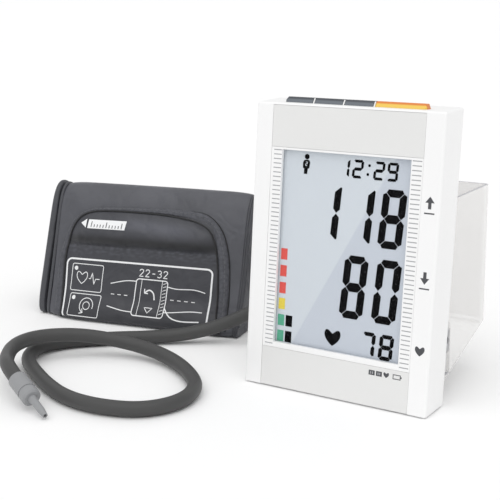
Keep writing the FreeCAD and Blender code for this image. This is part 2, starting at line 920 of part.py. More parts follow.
def cuff_holder():
    outline = ((slab_back(holder_foot_front), holder_foot_front), (holder_back, holder_foot_back),
               (holder_back, holder_rim), (slab_back(holder_rim), holder_rim))
    body = prism(outline, -holder_half, holder_half)

    def upright_edge(edge):
        return runs_along(edge, Vec(0, 0, 1)) and at(edge.CenterOfMass.y, holder_back)

    def heel_edge(edge):
        near = holder_back - 2 * holder_round
        return at(edge.BoundBox.ZMax, holder_foot_back) and edge.BoundBox.YMin > near

    body = rounded(body, holder_round, upright_edge)
    body = rounded(body, holder_heel_round, heel_edge)
    half = holder_half - holder_wall
    back = holder_back - holder_wall
    lean_out = holder_wall / math.cos(lean)
    rim_over = holder_rim + overrun
    inside = prism(((slab_back(holder_shelf_front) + lean_out, holder_shelf_front),
                    (back, holder_shelf(back)), (back, rim_over), (slab_back(rim_over) + lean_out, rim_over)),
                   -half, half)

    def inner_corner(edge):
        centre = edge.CenterOfMass
        return runs_along(edge, Vec(0, 0, 1)) and at(centre.y, back)

    inside = rounded(inside, holder_round - holder_wall / 2, inner_corner)
    drop = holder_wall / math.cos(math.radians(holder_shelf_drop_deg))
    under_back = back - holder_wall
    under_front = slab_back(holder_shelf_front) - overrun
    under = prism(((slab_back(-overrun) - overrun, -overrun), (under_back, -overrun),
                   (under_back, holder_shelf(under_back) - drop),
                   (under_front, holder_shelf(under_front) - drop)),
                  -half, half)
    slot = slot_space(half - overrun, holder_half + overrun)
    holes = [in_slab(hole) for hole in through(holder_screw_places(), screw_shank_radius + fit_gap,
                                               slab_depth - overrun, slab_depth + holder_wall + overrun)]
    body = body.cut([inside, under, slot] + holes)
    return joined([body, holder_band()])


def holder_band():
    """Raised moulding on the side walls where the shelf meets them."""
    made = []
    start = slab_back(holder_shelf_front)
    end = holder_back - holder_band_stop
    for side in (-1, 1):
        x0, x1 = sorted((side * (holder_half - holder_wall / 2), side * (holder_half + holder_step)))
        made.append(prism(((start, holder_shelf(start)), (end, holder_shelf(end)),
                           (end, holder_shelf(end) - 2 * holder_wall),
                           (start, holder_shelf(start) - 2 * holder_wall)), x0, x1))
    return made[0].fuse(made[1])


def slot_space(x0, x1):
    near = slab_back(slot_low) + slot_front
    return box(x0, x1, near, near + slot_width, slot_low, slot_high)


def air_socket():
    near = slab_back(slot_low) + slot_front
    middle = socket_middle()
    inner = holder_half - holder_wall - fit_gap
    low = middle - socket_nose_height / 2
    nose = box(inner - overrun, holder_half - socket_nose_sink, near + fit_gap, near + slot_width - fit_gap,
               low, low + socket_nose_height)
    body = box(inner - socket_body_length, inner, front_y, near + slot_width + socket_body_back,
               middle - socket_body_height / 2, middle + socket_body_height / 2)
    block = joined([body, nose]).cut(in_slab(prism(((-setback, -setback), (slab_depth, -setback),
                                                    (slab_depth, slab_height), (-setback, slab_height)),
                                                   -slab_width, slab_width)))
    block = block.cut(holder_floor_space(inner))
    mouth = Vec(holder_half - socket_nose_sink, near + slot_width / 2, middle)
    bore = rod(socket_bore_radius, mouth - Vec(socket_bore_length, 0, 0), mouth + Vec(overrun, 0, 0))
    return block.cut(bore)


def holder_floor_space(half):
    """Everything above the underside of the holder's sloping shelf."""
    drop = (holder_wall + fit_gap) / math.cos(math.radians(holder_shelf_drop_deg))
    near = slab_back(0) - overrun
    return prism(((near, holder_shelf(near) - drop), (holder_back, holder_shelf(holder_back) - drop),
                  (holder_back, holder_rim), (near, holder_rim)), -half - overrun, half + overrun)


def stand_foot():
    front = slab_back(0)
    plate = box(-foot_half, foot_half, front, foot_back, 0, foot_thickness)

    def rear_corner(edge):
        return runs_along(edge, Vec(0, 0, 1)) and at(edge.CenterOfMass.y, foot_back)

    plate = rounded(plate, foot_corner, rear_corner)
    flange = prism(((slab_back(0), 0), (slab_back(foot_flange_height), foot_flange_height),
                    (slab_back(foot_flange_height) + foot_flange_thickness, foot_flange_height),
                    (slab_back(0) + foot_flange_thickness, 0)), -foot_half, foot_half)
    gussets = []
    start = slab_back(foot_thickness) + foot_flange_thickness / 2
    end = start + foot_gusset_length
    head = slab_back(foot_flange_height) + foot_flange_thickness / 2
    for side in (-1, 1):
        x = side * foot_gusset_out
        gussets.append(prism(((start, foot_thickness / 2), (end, foot_thickness / 2), (end, foot_thickness),
                              (head, foot_flange_height)),
                             x - foot_gusset_thickness / 2, x + foot_gusset_thickness / 2))
    body = joined([plate, flange] + gussets)
    slab_space = in_slab(across(slab_width, -overrun, slab_depth, -slab_depth, slab_height))
    holes = [in_slab(hole) for hole in through(foot_screw_places(), screw_shank_radius + fit_gap,
                                               slab_depth - overrun, slab_depth + overrun)]
    return body.cut([slab_space] + holes)


def cuff_outline(along, share):
    """Closed section of the rolled cuff, drawn in about its middle by the share."""
    middle = cuff_depth / 2

    def point(y, z):
        return Vec(along, middle + (y - middle) * share, z * share)

    def shared(pair):
        return point(cuff_depth * pair[0], cuff_height * pair[1])

    toe = point(cuff_toe * math.sin(cuff_lean), cuff_toe * math.cos(cuff_lean))
    brow = point(cuff_face_height * math.sin(cuff_lean), cuff_face_height * math.cos(cuff_lean))
    crest = point(cuff_depth * cuff_crest_share, cuff_height)
    shoulder = shared(cuff_shoulder_shares)
    heel = shared(cuff_heel_shares)
    sole_front = point(cuff_depth * cuff_sole_shares[0], 0)
    sole_back = point(cuff_depth * cuff_sole_shares[1], 0)
    edges = [
        Part.LineSegment(toe, brow).toShape(),
        Part.Arc(brow, crest, shoulder).toShape(),
        Part.Arc(shoulder, shared(cuff_back_shares), heel).toShape(),
        Part.Arc(heel, shared(cuff_heel_mid_shares), sole_back).toShape(),
        Part.LineSegment(sole_back, sole_front).toShape(),
        Part.Arc(sole_front, shared(cuff_toe_mid_shares), toe).toShape(),
    ]
    return Part.Wire(edges)


def bladder_space(grow):
    block = box(bladder_side - grow, cuff_width - bladder_side + grow, bladder_skin - grow,
                bladder_skin + bladder_thickness + grow, bladder_low - grow, bladder_high + grow)
    return rounded(block, bladder_round, lambda e: True)


def cuff_body():
    (end_share, near_share), (near, inner) = cuff_draw_shares, cuff_draw_lengths
    stations = ((0, end_share), (near, near_share), (inner, 1), (cuff_width - inner, 1),
                (cuff_width - near, near_share), (cuff_width, end_share))
    roll = Part.makeLoft([cuff_outline(along, share) for along, share in stations], True, True)
    roll = placed(roll, cuff_place)
    return roll.cut(placed(bladder_space(pocket_gap), face_place))


def cuff_bladder():
    return placed(bladder_space(0), face_place)


def cuff_roll_edges():
    """Bound edges of the wound layers, which stand a little out of both ends."""
    made = []
    share = cuff_draw_shares[0]
    for start in (-roll_edge_proud, cuff_width):
        outline = cuff_outline(start, share)
        for i in range(roll_edge_count):
            inset = i * (roll_edge_width + roll_edge_gap)
            outer = Part.Face(outline.makeOffset2D(-inset) if inset else outline)
            inner = Part.Face(outline.makeOffset2D(-inset - roll_edge_width))
            ring = outer.cut(inner).extrude(Vec(roll_edge_proud, 0, 0))
            made.append(placed(ring, cuff_place).cut(gland_solid(gland_gap)))
    return made


def flap_outline(inset, y):
    low = cuff_toe
    slope_left = (flap_left_high - flap_left_low) / (flap_top - low)
    slope_right = (flap_right_low - flap_right_high) / (flap_top - low)
    side_left = inset * math.hypot(1, slope_left)
    side_right = inset * math.hypot(1, slope_right)
    top = flap_top - inset
    corners = ((flap_left_low + side_left, low), (flap_left_high + side_left - slope_left * inset, top),
               (flap_right_high - side_right + slope_right * inset, top), (flap_right_low - side_right, low))
    points = [Vec(x, y, z) for x, z in corners]
    return Part.Face(Part.makePolygon(points + points[:1]))


def flap_plate(inset, inner_y, outer_y):
    plate = flap_outline(inset, inner_y).extrude(Vec(0, outer_y - inner_y, 0))

    def corner(side):
        def chosen(edge):
            centre = edge.CenterOfMass
            right = centre.x > cuff_width / 2
            return runs_along(edge, Vec(0, 1, 0)) and centre.z > flap_top / 2 and right == (side > 0)
        return chosen

    plate = rounded(plate, flap_left_round - inset, corner(-1))
    return rounded(plate, flap_right_round - inset, corner(1))


def cuff_flap():
    return placed(flap_plate(0, 0, -flap_thickness), face_place)


def flap_binding():
    outer = flap_plate(0, -flap_thickness, -flap_thickness - binding_proud)
    inner = flap_plate(binding_width, -flap_thickness + overrun, -flap_thickness - binding_proud - overrun)
    return placed(outer.cut(inner), face_place)


def gland_axis():
    heading = math.radians(gland_heading_deg)
    return Vec(math.cos(heading), math.sin(heading), 0)


def gland_root():
    return cuff_place.multVec(Vec(cuff_width, gland_in, gland_height))


def gland_solid(grow):
    root = gland_root()
    start = root - gland_axis() * gland_sink
    end = root + gland_axis() * gland_length
    slope = (gland_base_radius - gland_mouth_radius) / gland_length
    return cone(gland_base_radius + gland_sink * slope + grow, gland_mouth_radius + grow, start, end)


def hose_gland():
    behind = placed(box(-cuff_width, cuff_width, -cuff_depth, 2 * cuff_depth, -cuff_height, 2 * cuff_height),
                    cuff_place)
    return gland_solid(0).cut(behind)


def hose_points():
    mouth = gland_root() + gland_axis() * gland_length
    first = mouth + gland_axis() * hose_first_run
    last = Vec(*plug_start) - plug_axis() * hose_last_run
    return [tuple(mouth), tuple(first)] + list(hose_route) + [tuple(last), plug_start]


def hose():
    radii = []
    points = hose_points()
    solid, length = tube(points, hose_diameter / 2, hose_run_share, radii)
    section = math.pi * hose_diameter ** 2 / 4
    print("hose radii", [round(r, 1) for r in radii])
    print("hose length", round(length, 1), "volume share", round(solid.Volume / (section * length), 4))
    return solid


def plug_axis():
    heading = math.radians(plug_heading_deg)
    dip = math.radians(plug_dip_deg)
    return Vec(math.cos(heading) * math.cos(dip), math.sin(heading) * math.cos(dip), -math.sin(dip))


def plug_place():
    return FreeCAD.Placement(Vec(*plug_start), FreeCAD.Rotation(Vec(1, 0, 0), plug_axis()))


def turned(outline):
    points = [Vec(x, r, 0) for x, r in outline]
    face = Part.Face(Part.makePolygon(points + points[:1]))
    return face.revolve(Vec(), Vec(1, 0, 0), 360)


def plug_sleeve():
    groove = plug_radius - plug_ring_groove
    ring = plug_length - plug_ring_length
    neck = ring - plug_groove_width
    body = turned(((0, 0), (0, plug_radius), (neck, plug_radius), (neck, groove), (ring, groove),
                   (ring, plug_radius), (plug_length - plug_round, plug_radius),
                   (plug_length, plug_radius - plug_round), (plug_length, 0)))
    return placed(body, plug_place())


def plug_nozzle():
    end = plug_length + nozzle_length
    taper = end - nozzle_taper_length
    body = turned(((plug_length, nozzle_bore_radius), (plug_length, nozzle_root_radius),
                   (plug_length + nozzle_root_length, nozzle_radius), (taper, nozzle_radius),
                   (end, nozzle_tip_radius), (end, nozzle_bore_radius)))
    return placed(body, plug_place())


def solids_of(shape):
    if isinstance(shape, (list, tuple)):
        return [solid for item in shape for solid in solids_of(item)]
    return shape.Solids


def save(name, shape):
    solids = solids_of(shape)
    whole = solids[0] if len(solids) == 1 else Part.makeCompound(solids)
    bad = [solid for solid in solids if not solid.isValid() or solid.Volume <= 0]
    print(name, len(solids), "solids", round(whole.Volume, 1), "mm3", "BAD" if bad else "")
    whole.exportStep(os.path.join("parts", name + ".step"))


def main():
    os.makedirs("parts", exist_ok=True)
    save("front_cover", front_cover())
    save("rear_cover", rear_cover())
    save("upper_face_panel", upper_face_panel())
    save("lower_face_panel", lower_face_panel())
    save("display_bezel", display_bezel())
    save("display_window", display_window())
    save("lcd_panel", lcd_panel())
    save("lcd_backlight", lcd_backlight())
    save("lcd_frame", lcd_frame())
    save("main_board", main_board())
    save("board_chips", board_chips())
    save("buzzer", buzzer())
    save("pressure_sensor", pressure_sensor())
    save("key_board", key_board())
    save("key_switches", key_switches())
    for i, name in enumerate(key_names):
        save(name, key(i))
    save("battery_tray", battery_tray())
    save("batteries", batteries())
    save("battery_contacts", battery_contacts())
    save("battery_door", battery_door())
    save("pump_motor", pump_motor())
    save("pump_sleeve", pump_sleeve())
    save("pump_head", pump_head())
    save("air_manifold", air_manifold())
    save("deflation_valve", deflation_valve())
    save("air_tube", air_tube())
    save("air_socket", air_socket())
    save("cuff_holder", cuff_holder())
    save("stand_foot", stand_foot())
    save("front_pads", pads(0))
    save("housing_screws", screws(boss_places(), slab_depth - screw_head_height, slab_depth - screw_length))
    save("holder_screws", screws(holder_screw_places(), slab_depth + holder_wall,
                                 cover_in - rear_boss_height))
    save("foot_screws", screws(foot_screw_places(), slab_depth + foot_flange_thickness, cover_in))
    save("cuff_body", cuff_body())
    save("cuff_bladder", cuff_bladder())
    save("cuff_roll_edges", cuff_roll_edges())
    save("cuff_flap", cuff_flap())
    save("flap_binding", flap_binding())
    save("hose_gland", hose_gland())
    save("hose", hose())
    save("plug_sleeve", plug_sleeve())
    save("plug_nozzle", plug_nozzle())


main()
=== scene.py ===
import bmesh
import bpy
import math
from mathutils import Matrix, Vector, noise
from mathutils.bvhtree import BVHTree


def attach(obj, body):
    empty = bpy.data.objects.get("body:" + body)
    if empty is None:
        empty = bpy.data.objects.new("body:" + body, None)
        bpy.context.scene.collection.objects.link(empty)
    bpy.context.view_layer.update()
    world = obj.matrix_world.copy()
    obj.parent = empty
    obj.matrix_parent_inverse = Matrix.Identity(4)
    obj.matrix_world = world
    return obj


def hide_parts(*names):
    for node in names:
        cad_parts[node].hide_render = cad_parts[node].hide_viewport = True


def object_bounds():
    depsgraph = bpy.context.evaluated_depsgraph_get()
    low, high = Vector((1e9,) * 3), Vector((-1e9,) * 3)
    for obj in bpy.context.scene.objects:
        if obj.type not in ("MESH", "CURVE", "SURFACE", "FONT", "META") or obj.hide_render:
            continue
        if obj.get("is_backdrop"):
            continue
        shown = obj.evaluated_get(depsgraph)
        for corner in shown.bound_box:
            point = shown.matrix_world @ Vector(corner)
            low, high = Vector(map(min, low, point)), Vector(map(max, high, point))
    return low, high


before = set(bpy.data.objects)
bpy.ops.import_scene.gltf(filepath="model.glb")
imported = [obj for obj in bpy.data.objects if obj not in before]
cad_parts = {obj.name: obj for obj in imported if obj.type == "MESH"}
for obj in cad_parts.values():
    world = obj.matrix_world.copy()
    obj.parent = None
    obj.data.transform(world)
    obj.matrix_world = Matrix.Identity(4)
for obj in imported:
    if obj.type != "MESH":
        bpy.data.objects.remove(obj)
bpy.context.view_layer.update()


# Housing: a deep front tray, a flat rear lid and a sliding battery door, all injection moulded
# in white ABS. The tool is spark finished, so the surface is satin with a very fine grain.
mm = 0.001


def tone(red, green, blue):
    """A colour given from 0 to 255, as a shader takes it."""
    return tuple(((c / 255 + 0.055) / 1.055) ** 2.4 for c in (red, green, blue)) + (1.0,)


def feed(tree, node, sources):
    """Links other nodes' outputs to a node's sockets, or sets their values."""
    for socket, source in sources.items():
        if isinstance(source, bpy.types.NodeSocket):
            tree.links.new(source, node.inputs[socket])
        else:
            node.inputs[socket].default_value = source


def add(tree, kind, sockets, **settings):
    """Makes one shader node and gives back its outputs."""
    made = tree.nodes.new("ShaderNode" + kind)
    for name, value in settings.items():
        setattr(made, name, value)
    feed(tree, made, sockets)
    return made.outputs


def blank(name):
    """A new material, its node tree, its shader and the object's own coordinates."""
    material = bpy.data.materials.new(name)
    material.use_nodes = True
    tree = material.node_tree
    return material, tree, tree.nodes["Principled BSDF"], add(tree, "TexCoord", {})["Object"]


def mottle(tree, place, scale, detail):
    """Noise over the surface, about scale blots to the metre."""
    return add(tree, "TexNoise", {"Vector": place, "Scale": scale, "Detail": detail})["Fac"]


def wander(tree, source, middle, spread):
    """Lets a value wander about its middle with a noise."""
    ends = {"Value": source, "To Min": middle - spread, "To Max": middle + spread}
    return add(tree, "MapRange", ends)["Result"]


def raised(tree, height, strength, depth):
    """Fine relief on the surface."""
    return add(tree, "Bump", {"Height": height, "Strength": strength, "Distance": depth})["Normal"]


def moulded(name, colour, roughness, grain=0.6 * mm, depth=0.06 * mm, drift=0.02, specular=0.5):
    """Plastic or rubber out of a mould: tone and gloss wander a little over a fine grain."""
    material, tree, shader, place = blank(name)
    cloud = mottle(tree, place, scale=22.0, detail=3.0)
    fine = mottle(tree, place, scale=1.0 / grain, detail=2.0)
    level = wander(tree, cloud, middle=1.0, spread=drift)
    tint = add(tree, "HueSaturation", {"Color": colour, "Value": level})["Color"]
    gloss = wander(tree, fine, middle=roughness, spread=0.07)
    skin = raised(tree, fine, strength=0.3, depth=depth)
    feed(tree, shader, {"Base Color": tint, "Roughness": gloss, "Normal": skin,
                        "Specular IOR Level": specular})
    return material


def coat(material, *names):
    """Puts a material on CAD nodes."""
    for name in names:
        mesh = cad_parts[name].data
        mesh.materials.clear()
        mesh.materials.append(material)


housing_white = moulded("housing_white", tone(247, 247, 247), roughness=0.42)
coat(housing_white, "front_cover", "rear_cover", "battery_door")


# Face plates and bezel: two light grey plates and a white frame, moulded apart and stuck in the
# shallow recess of the tray. The frame carries fine printed graduations at both sides.
face_grey = moulded("face_grey", tone(230, 230, 229), roughness=0.5, grain=0.5 * mm, depth=0.05 * mm)
coat(face_grey, "upper_face_panel", "lower_face_panel")
coat(moulded("bezel_white", tone(247, 247, 247), roughness=0.38, depth=0.04 * mm), "display_bezel")
slab_front = -31.0 * mm
slab_lean = math.radians(6.2)
slab_place = Matrix.Translation((0, slab_front, 0)) @ Matrix.Rotation(-slab_lean, 4, "X")
ink_thick = 0.1


def stamp(form, outline, front, thick=ink_thick):
    """A flat print on the slab's face, in mm across and up; front is its depth in mm."""
    face = form.faces.new([form.verts.new((u, front, v)) for u, v in outline])
    grown = bmesh.ops.extrude_face_region(form, geom=[face])["geom"]
    back = [g for g in grown if isinstance(g, bmesh.types.BMVert)]
    bmesh.ops.translate(form, verts=back, vec=(0, thick, 0))


def bar(left, right, low, top):
    """Outline of an upright box."""
    return ((left, low), (right, low), (right, top), (left, top))


def piece(form, name, place, material, smooth=False):
    """Makes an object of a mesh drawn in mm in its own axes."""
    bmesh.ops.remove_doubles(form, verts=form.verts, dist=0.0005)
    bmesh.ops.recalc_face_normals(form, faces=form.faces)
    form.transform(place @ Matrix.Scale(mm, 4))
    mesh = bpy.data.meshes.new(name)
    form.to_mesh(mesh)
    form.free()
    made = bpy.data.objects.new(name, mesh)
    bpy.context.scene.collection.objects.link(made)
    mesh.materials.append(material)
    if smooth:
        mesh.shade_smooth()
    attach(made, "monitor")
    return made


bezel_front = 0.06
tick_count = 45
tick_low = 24.6
tick_pitch = 2.44
tick_width = 0.5
ticks = bmesh.new()
for left, right in ((-43.3, -38.4), (38.9, 44.1)):
    for step in range(tick_count):
        level = tick_low + tick_pitch * step
        stamp(ticks, bar(left, right, level, level + tick_width), bezel_front)
tick_ink = moulded("tick_ink", tone(164, 165, 168), roughness=0.6, grain=0.3 * mm, depth=0.02 * mm)
piece(ticks, "bezel_ticks", slab_place, tick_ink)


# Cheek signs: three small signs pad-printed in grey on the right cheek, one beside each reading:
# an arrow up and an arrow down, each with a rule, and a heart.
def heart(middle, low, width, height, count=28):
    """Outline of a heart, from the curve whose heights run from -17 to 12."""
    points = []
    for step in range(count):
        turn = 2 * math.pi * step / count
        across = math.copysign(abs(math.sin(turn)) ** 1.6, math.sin(turn))
        up = 13 * math.cos(turn) - 5 * math.cos(2 * turn) - 2 * math.cos(3 * turn) - math.cos(4 * turn)
        points.append((middle + across * width / 2, low + (up + 17) / 29 * height))
    return points


def arrow(middle, low, width, height):
    """Outline of an upright arrow; a height below zero points it down."""
    half = width / 2
    neck = low + 0.5 * height
    stem = 0.35 * half
    return ((middle - stem, low), (middle + stem, low), (middle + stem, neck), (middle + half, neck),
            (middle, low + height), (middle - half, neck), (middle - stem, neck))


cheek_front = -0.05
cheek_middle = 49.8
arrow_width = 5.0
arrow_height = 6.4
rule_left = 47.0
rule_right = 52.6
signs = bmesh.new()
stamp(signs, arrow(cheek_middle, 108.6, arrow_width, arrow_height), cheek_front)
stamp(signs, bar(rule_left, rule_right, low=106.0, top=106.7), cheek_front)
stamp(signs, arrow(cheek_middle, 76.4, arrow_width, -arrow_height), cheek_front)
stamp(signs, bar(rule_left, rule_right, low=67.4, top=68.1), cheek_front)
stamp(signs, heart(cheek_middle, low=32.6, width=5.4, height=5.0), cheek_front)
sign_ink = moulded("sign_ink", tone(74, 75, 79), roughness=0.6, grain=0.3 * mm, depth=0.02 * mm)
piece(signs, "cheek_signs", slab_place, sign_ink)


# Display: a reflective liquid crystal panel behind a clear hard-coated lens. The polariser film
# is a pale blue grey; its segments are nearly black and the level bars have coloured film under them.
def between(tree, place, line, start, end):
    """How far a point lies between two distances along a line, from 0 to 1."""
    distance = add(tree, "VectorMath", {0: place, 1: line}, operation="DOT_PRODUCT")["Value"]
    return add(tree, "MapRange", {"Value": distance, "From Min": start, "From Max": end})["Result"]


def two_tone(tree, share, first, second):
    """Two colours blended by a share from 0 to 1."""
    tint = add(tree, "ValToRGB", {"Fac": share})["Color"]
    tint.node.color_ramp.elements[0].color = first
    tint.node.color_ramp.elements[1].color = second
    return tint


def film_material():
    """Polariser film with a painted reflection: paler on one side of a slanting line."""
    material, tree, shader, place = blank("lcd_film")
    # Painted reflection: the film is paler on one side of a slanting line across the display.
    sheen = between(tree, place, (0.883, 0.0, -0.470), start=-37.2 * mm, end=-36.2 * mm)
    tint = two_tone(tree, sheen, tone(216, 223, 230), tone(205, 212, 222))
    fine = mottle(tree, place, scale=2500.0, detail=1.0)
    skin = raised(tree, fine, strength=0.15, depth=0.03 * mm)
    feed(tree, shader, {"Base Color": tint, "Roughness": 0.6, "Normal": skin, "Specular IOR Level": 0.1})
    return material


def lens_material():
    """Clear hard-coated plastic with a faint smear."""
    material, tree, shader, place = blank("lens_clear")
    smear = mottle(tree, place, scale=60.0, detail=4.0)
    gloss = wander(tree, smear, middle=0.06, spread=0.03)
    feed(tree, shader, {"Base Color": tone(24, 26, 28), "Roughness": gloss, "Alpha": 0.02, "IOR": 1.46})
    return material


lcd_film = film_material()
coat(lens_material(), "display_window")
coat(lcd_film, "lcd_panel")
mark_front = 3.03
mark_thick = 0.08
figure_lean = 0.066
segment_gap = 0.055
lit_bars = {"0": "abcdef", "1": "bc", "2": "abged", "7": "abc", "8": "abcdefg", "9": "abcdfg"}


def segments(width, height, stroke, gap, blunt, drop):
    """Outlines of the seven bars of a figure, each with mitred ends."""
    half = stroke / 2
    waist = 0.58 * stroke
    mid = height / 2
    inner = width - stroke
    cut = blunt * stroke
    end = height - drop * stroke - gap
    upper_left = ((half, mid + gap), (stroke, mid + waist + gap), (stroke, height - stroke - gap),
                  (cut, end), (0, end - 0.6 * cut), (0, mid + half + gap))
    upper_right = tuple((width - u, v) for u, v in upper_left)
    lower_left = tuple((u, height - v) for u, v in upper_left)
    lower_right = tuple((width - u, height - v) for u, v in upper_left)
    top = ((cut + gap, height - cut), (stroke + gap, height - stroke), (inner - gap, height - stroke),
           (width - cut - gap, height - cut), (width - 1.6 * cut - gap, height), (1.6 * cut + gap, height))
    bottom = tuple((u, height - v) for u, v in top)
    middle = ((half + gap, mid), (stroke + gap, mid + waist), (inner - gap, mid + waist),
              (width - half - gap, mid), (inner - gap, mid - waist), (stroke + gap, mid - waist))
    return {"a": top, "b": upper_right, "c": lower_right, "d": bottom,
            "e": lower_left, "f": upper_left, "g": middle}


def figure(form, sign, left, low, width, height, stroke, front=mark_front, thick=mark_thick):
    """One seven-bar figure, leaning slightly to the right; a one keeps its sharp tips."""
    blunt, drop = (0.2, 0.3) if sign == "1" else (0.42, 0.42)
    bars = segments(width, height, stroke, segment_gap * stroke, blunt, drop)
    for name in lit_bars[sign]:
        leaning = [(left + u + figure_lean * (v - height / 2), low + v) for u, v in bars[name]]
        stamp(form, leaning, front, thick)


def disc(across, up, radius, count=20):
    """Outline of a round dot."""
    turns = [2 * math.pi * k / count for k in range(count)]
    return [(across + radius * math.sin(turn), up + radius * math.cos(turn)) for turn in turns]


# Each reading's digits and their left edges, then low edge, width, height and stroke.
readings = (("118", (-16.5, 3.2, 21.35), 85.3, 13.7, 31.0, 4.0),
            ("80", (1.3, 20.5), 45.3, 14.0, 34.1, 4.2),
            ("78", (14.6, 25.2), 26.1, 8.2, 13.7, 2.1),
            ("1229", (-4.4, 3.6, 16.0, 23.7), 120.4, 6.2, 9.7, 1.4))
clock_dots = ((12.6, 122.9), (13.3, 127.6))
person_middle = -24.4
person_waist = 125.5
person_lean = 0.06
person = ((-1.0, 120.2), (1.0, 120.2), (1.1, 123.2), (1.9, 123.3), (2.2, 126.2), (1.7, 127.4),
          (0.9, 127.8), (-0.9, 127.8), (-1.7, 127.4), (-2.2, 126.2), (-1.9, 123.3), (-1.1, 123.2))
level_height = 6.2
dark_left = -32.4
dark_right = -28.3
marks = bmesh.new()
for digits, lefts, low, width, height, stroke in readings:
    for sign, left in zip(digits, lefts):
        figure(marks, sign, left, low, width, height, stroke)
for across, level in clock_dots:
    stamp(marks, disc(across, level, radius=0.75), mark_front, mark_thick)
stamp(marks, heart(-2.7, low=28.8, width=9.8, height=8.8), mark_front, mark_thick)
for low in (35.1, 26.2):
    stamp(marks, bar(dark_left, dark_right, low, low + level_height), mark_front, mark_thick)
stamp(marks, disc(-24.2, 129.5, radius=1.45), mark_front, mark_thick)
leaning_person = [(person_middle + u + person_lean * (v - person_waist), v) for u, v in person]
stamp(marks, leaning_person, mark_front, mark_thick)
lcd_ink = moulded("lcd_ink", tone(14, 14, 16), roughness=0.6, grain=0.3 * mm, depth=0.01 * mm, specular=0.05)
piece(marks, "lcd_figures", slab_place, lcd_ink)
badge = bmesh.new()
figure(badge, "2", -25.0, 124.5, width=1.3, height=2.3, stroke=0.36, front=3.01, thick=0.015)
piece(badge, "person_badge", slab_place, lcd_film)
level_left = -37.4
level_right = -33.4
for name, colour, tops in (("lcd_bars_red", tone(232, 88, 80), (78.3, 68.9, 59.4)),
                           ("lcd_bar_yellow", tone(238, 216, 80), (50.5,)),
                           ("lcd_bars_green", tone(88, 176, 144), (41.3, 32.4))):
    level_bars = bmesh.new()
    for top in tops:
        stamp(level_bars, bar(level_left, level_right, top - level_height, top), mark_front, mark_thick)
    level_film = moulded(name, colour, roughness=0.5, grain=0.3 * mm, depth=0.01 * mm)
    piece(level_bars, name, slab_place, level_film)


# Status signs: four small signs printed in grey on the lower plate, two plain fields with pale
# strokes, a heart and a battery.
plate_front = 0.04
stroke_front = 0.01
stroke_thick = 0.02
stroke_width = 0.6
stroke_low = 18.6
stroke_top = 20.0
status_low = 18.0
status_top = 20.6
battery_edges = ((35.7, 40.2, 18.0, 18.4), (35.7, 40.2, 20.2, 20.6), (35.7, 36.1, 18.4, 20.2),
                 (39.8, 40.2, 18.4, 20.2), (40.2, 40.8, 18.9, 19.7))
status = bmesh.new()
stamp(status, bar(21.7, 25.2, status_low, status_top), plate_front)
stamp(status, bar(26.0, 29.4, status_low, status_top), plate_front)
stamp(status, heart(31.9, low=17.9, width=3.2, height=2.8), plate_front)
for edge in battery_edges:
    stamp(status, bar(*edge), plate_front)
piece(status, "status_signs", slab_place, sign_ink)
status_lights = bmesh.new()
for left in (22.5, 23.7, 26.9, 27.9):
    stamp(status_lights, bar(left, left + stroke_width, stroke_low, stroke_top), stroke_front, stroke_thick)
piece(status_lights, "status_lights", slab_place, tick_ink)


# Keys: four caps in the top face, moulded through-coloured. Three are slate grey; the start key is
# amber. Each is deeper in colour on its crest.
def key_material(name, face, crest, roughness):
    """Through-coloured plastic, one tone on the front and another on the crest."""
    material, tree, shader, place = blank(name)
    fine = mottle(tree, place, scale=1600.0, detail=2.0)
    share = between(tree, place, (0.0, 0.994, -0.108), start=-25.3 * mm, end=-25.0 * mm)
    tint = two_tone(tree, share, face, crest)
    gloss = wander(tree, fine, middle=roughness, spread=0.06)
    skin = raised(tree, fine, strength=0.25, depth=0.05 * mm)
    feed(tree, shader, {"Base Color": tint, "Roughness": gloss, "Normal": skin})
    return material


key_slate = key_material("key_slate", tone(104, 110, 117), tone(70, 74, 80), roughness=0.45)
coat(key_slate, "left_key", "middle_key", "right_key")
coat(key_material("key_amber", tone(240, 200, 86), tone(222, 128, 48), roughness=0.32), "start_key")


# Cuff holder: an open box of frosted clear plastic behind the slab, moulded in one piece with its
# sloping shelf. Light scatters inside the walls, so they read as a milky white.
def frosted_material():
    """Milky clear plastic. Faces that lie level, the rims among them, are painted darker grey and made less
    clear: painted shade standing in for the denser look of clear plastic seen edge on.
    """
    material, tree, shader, place = blank("holder_clear")
    cloud = mottle(tree, place, scale=14.0, detail=3.0)
    gloss = wander(tree, cloud, middle=0.40, spread=0.06)
    fine = mottle(tree, place, scale=1400.0, detail=2.0)
    skin = raised(tree, fine, strength=0.25, depth=0.05 * mm)
    upward = add(tree, "SeparateXYZ", {"Vector": add(tree, "TexCoord", {})["Normal"]})["Z"]
    # Painted shade: level faces get a darker grey and less clearness.
    painted_rim_shade = add(tree, "MapRange", {"Value": upward, "From Min": 0.97, "From Max": 0.99})["Result"]
    tint = two_tone(tree, painted_rim_shade, tone(250, 249, 248), tone(190, 190, 194))
    cover = add(tree, "MapRange", {"Value": painted_rim_shade, "To Min": 0.5, "To Max": 0.95})["Result"]
    feed(tree, shader, {"Base Color": tint, "Roughness": gloss, "Normal": skin, "Alpha": cover})
    return material


coat(frosted_material(), "cuff_holder")


# Stand and socket: a white moulded foot behind the slab's lower edge, two rubber pads under its
# front, and the grey moulded block that takes the hose's plug.
coat(moulded("foot_white", tone(238, 238, 238), roughness=0.45), "stand_foot")
soft_rubber = moulded("soft_rubber", tone(70, 70, 72), roughness=0.75, grain=0.8 * mm, depth=0.1 * mm,
                      drift=0.06)
coat(soft_rubber, "front_pads")
socket_grey = moulded("socket_grey", tone(176, 177, 180), roughness=0.4, grain=0.5 * mm, depth=0.05 * mm)
coat(socket_grey, "air_socket")


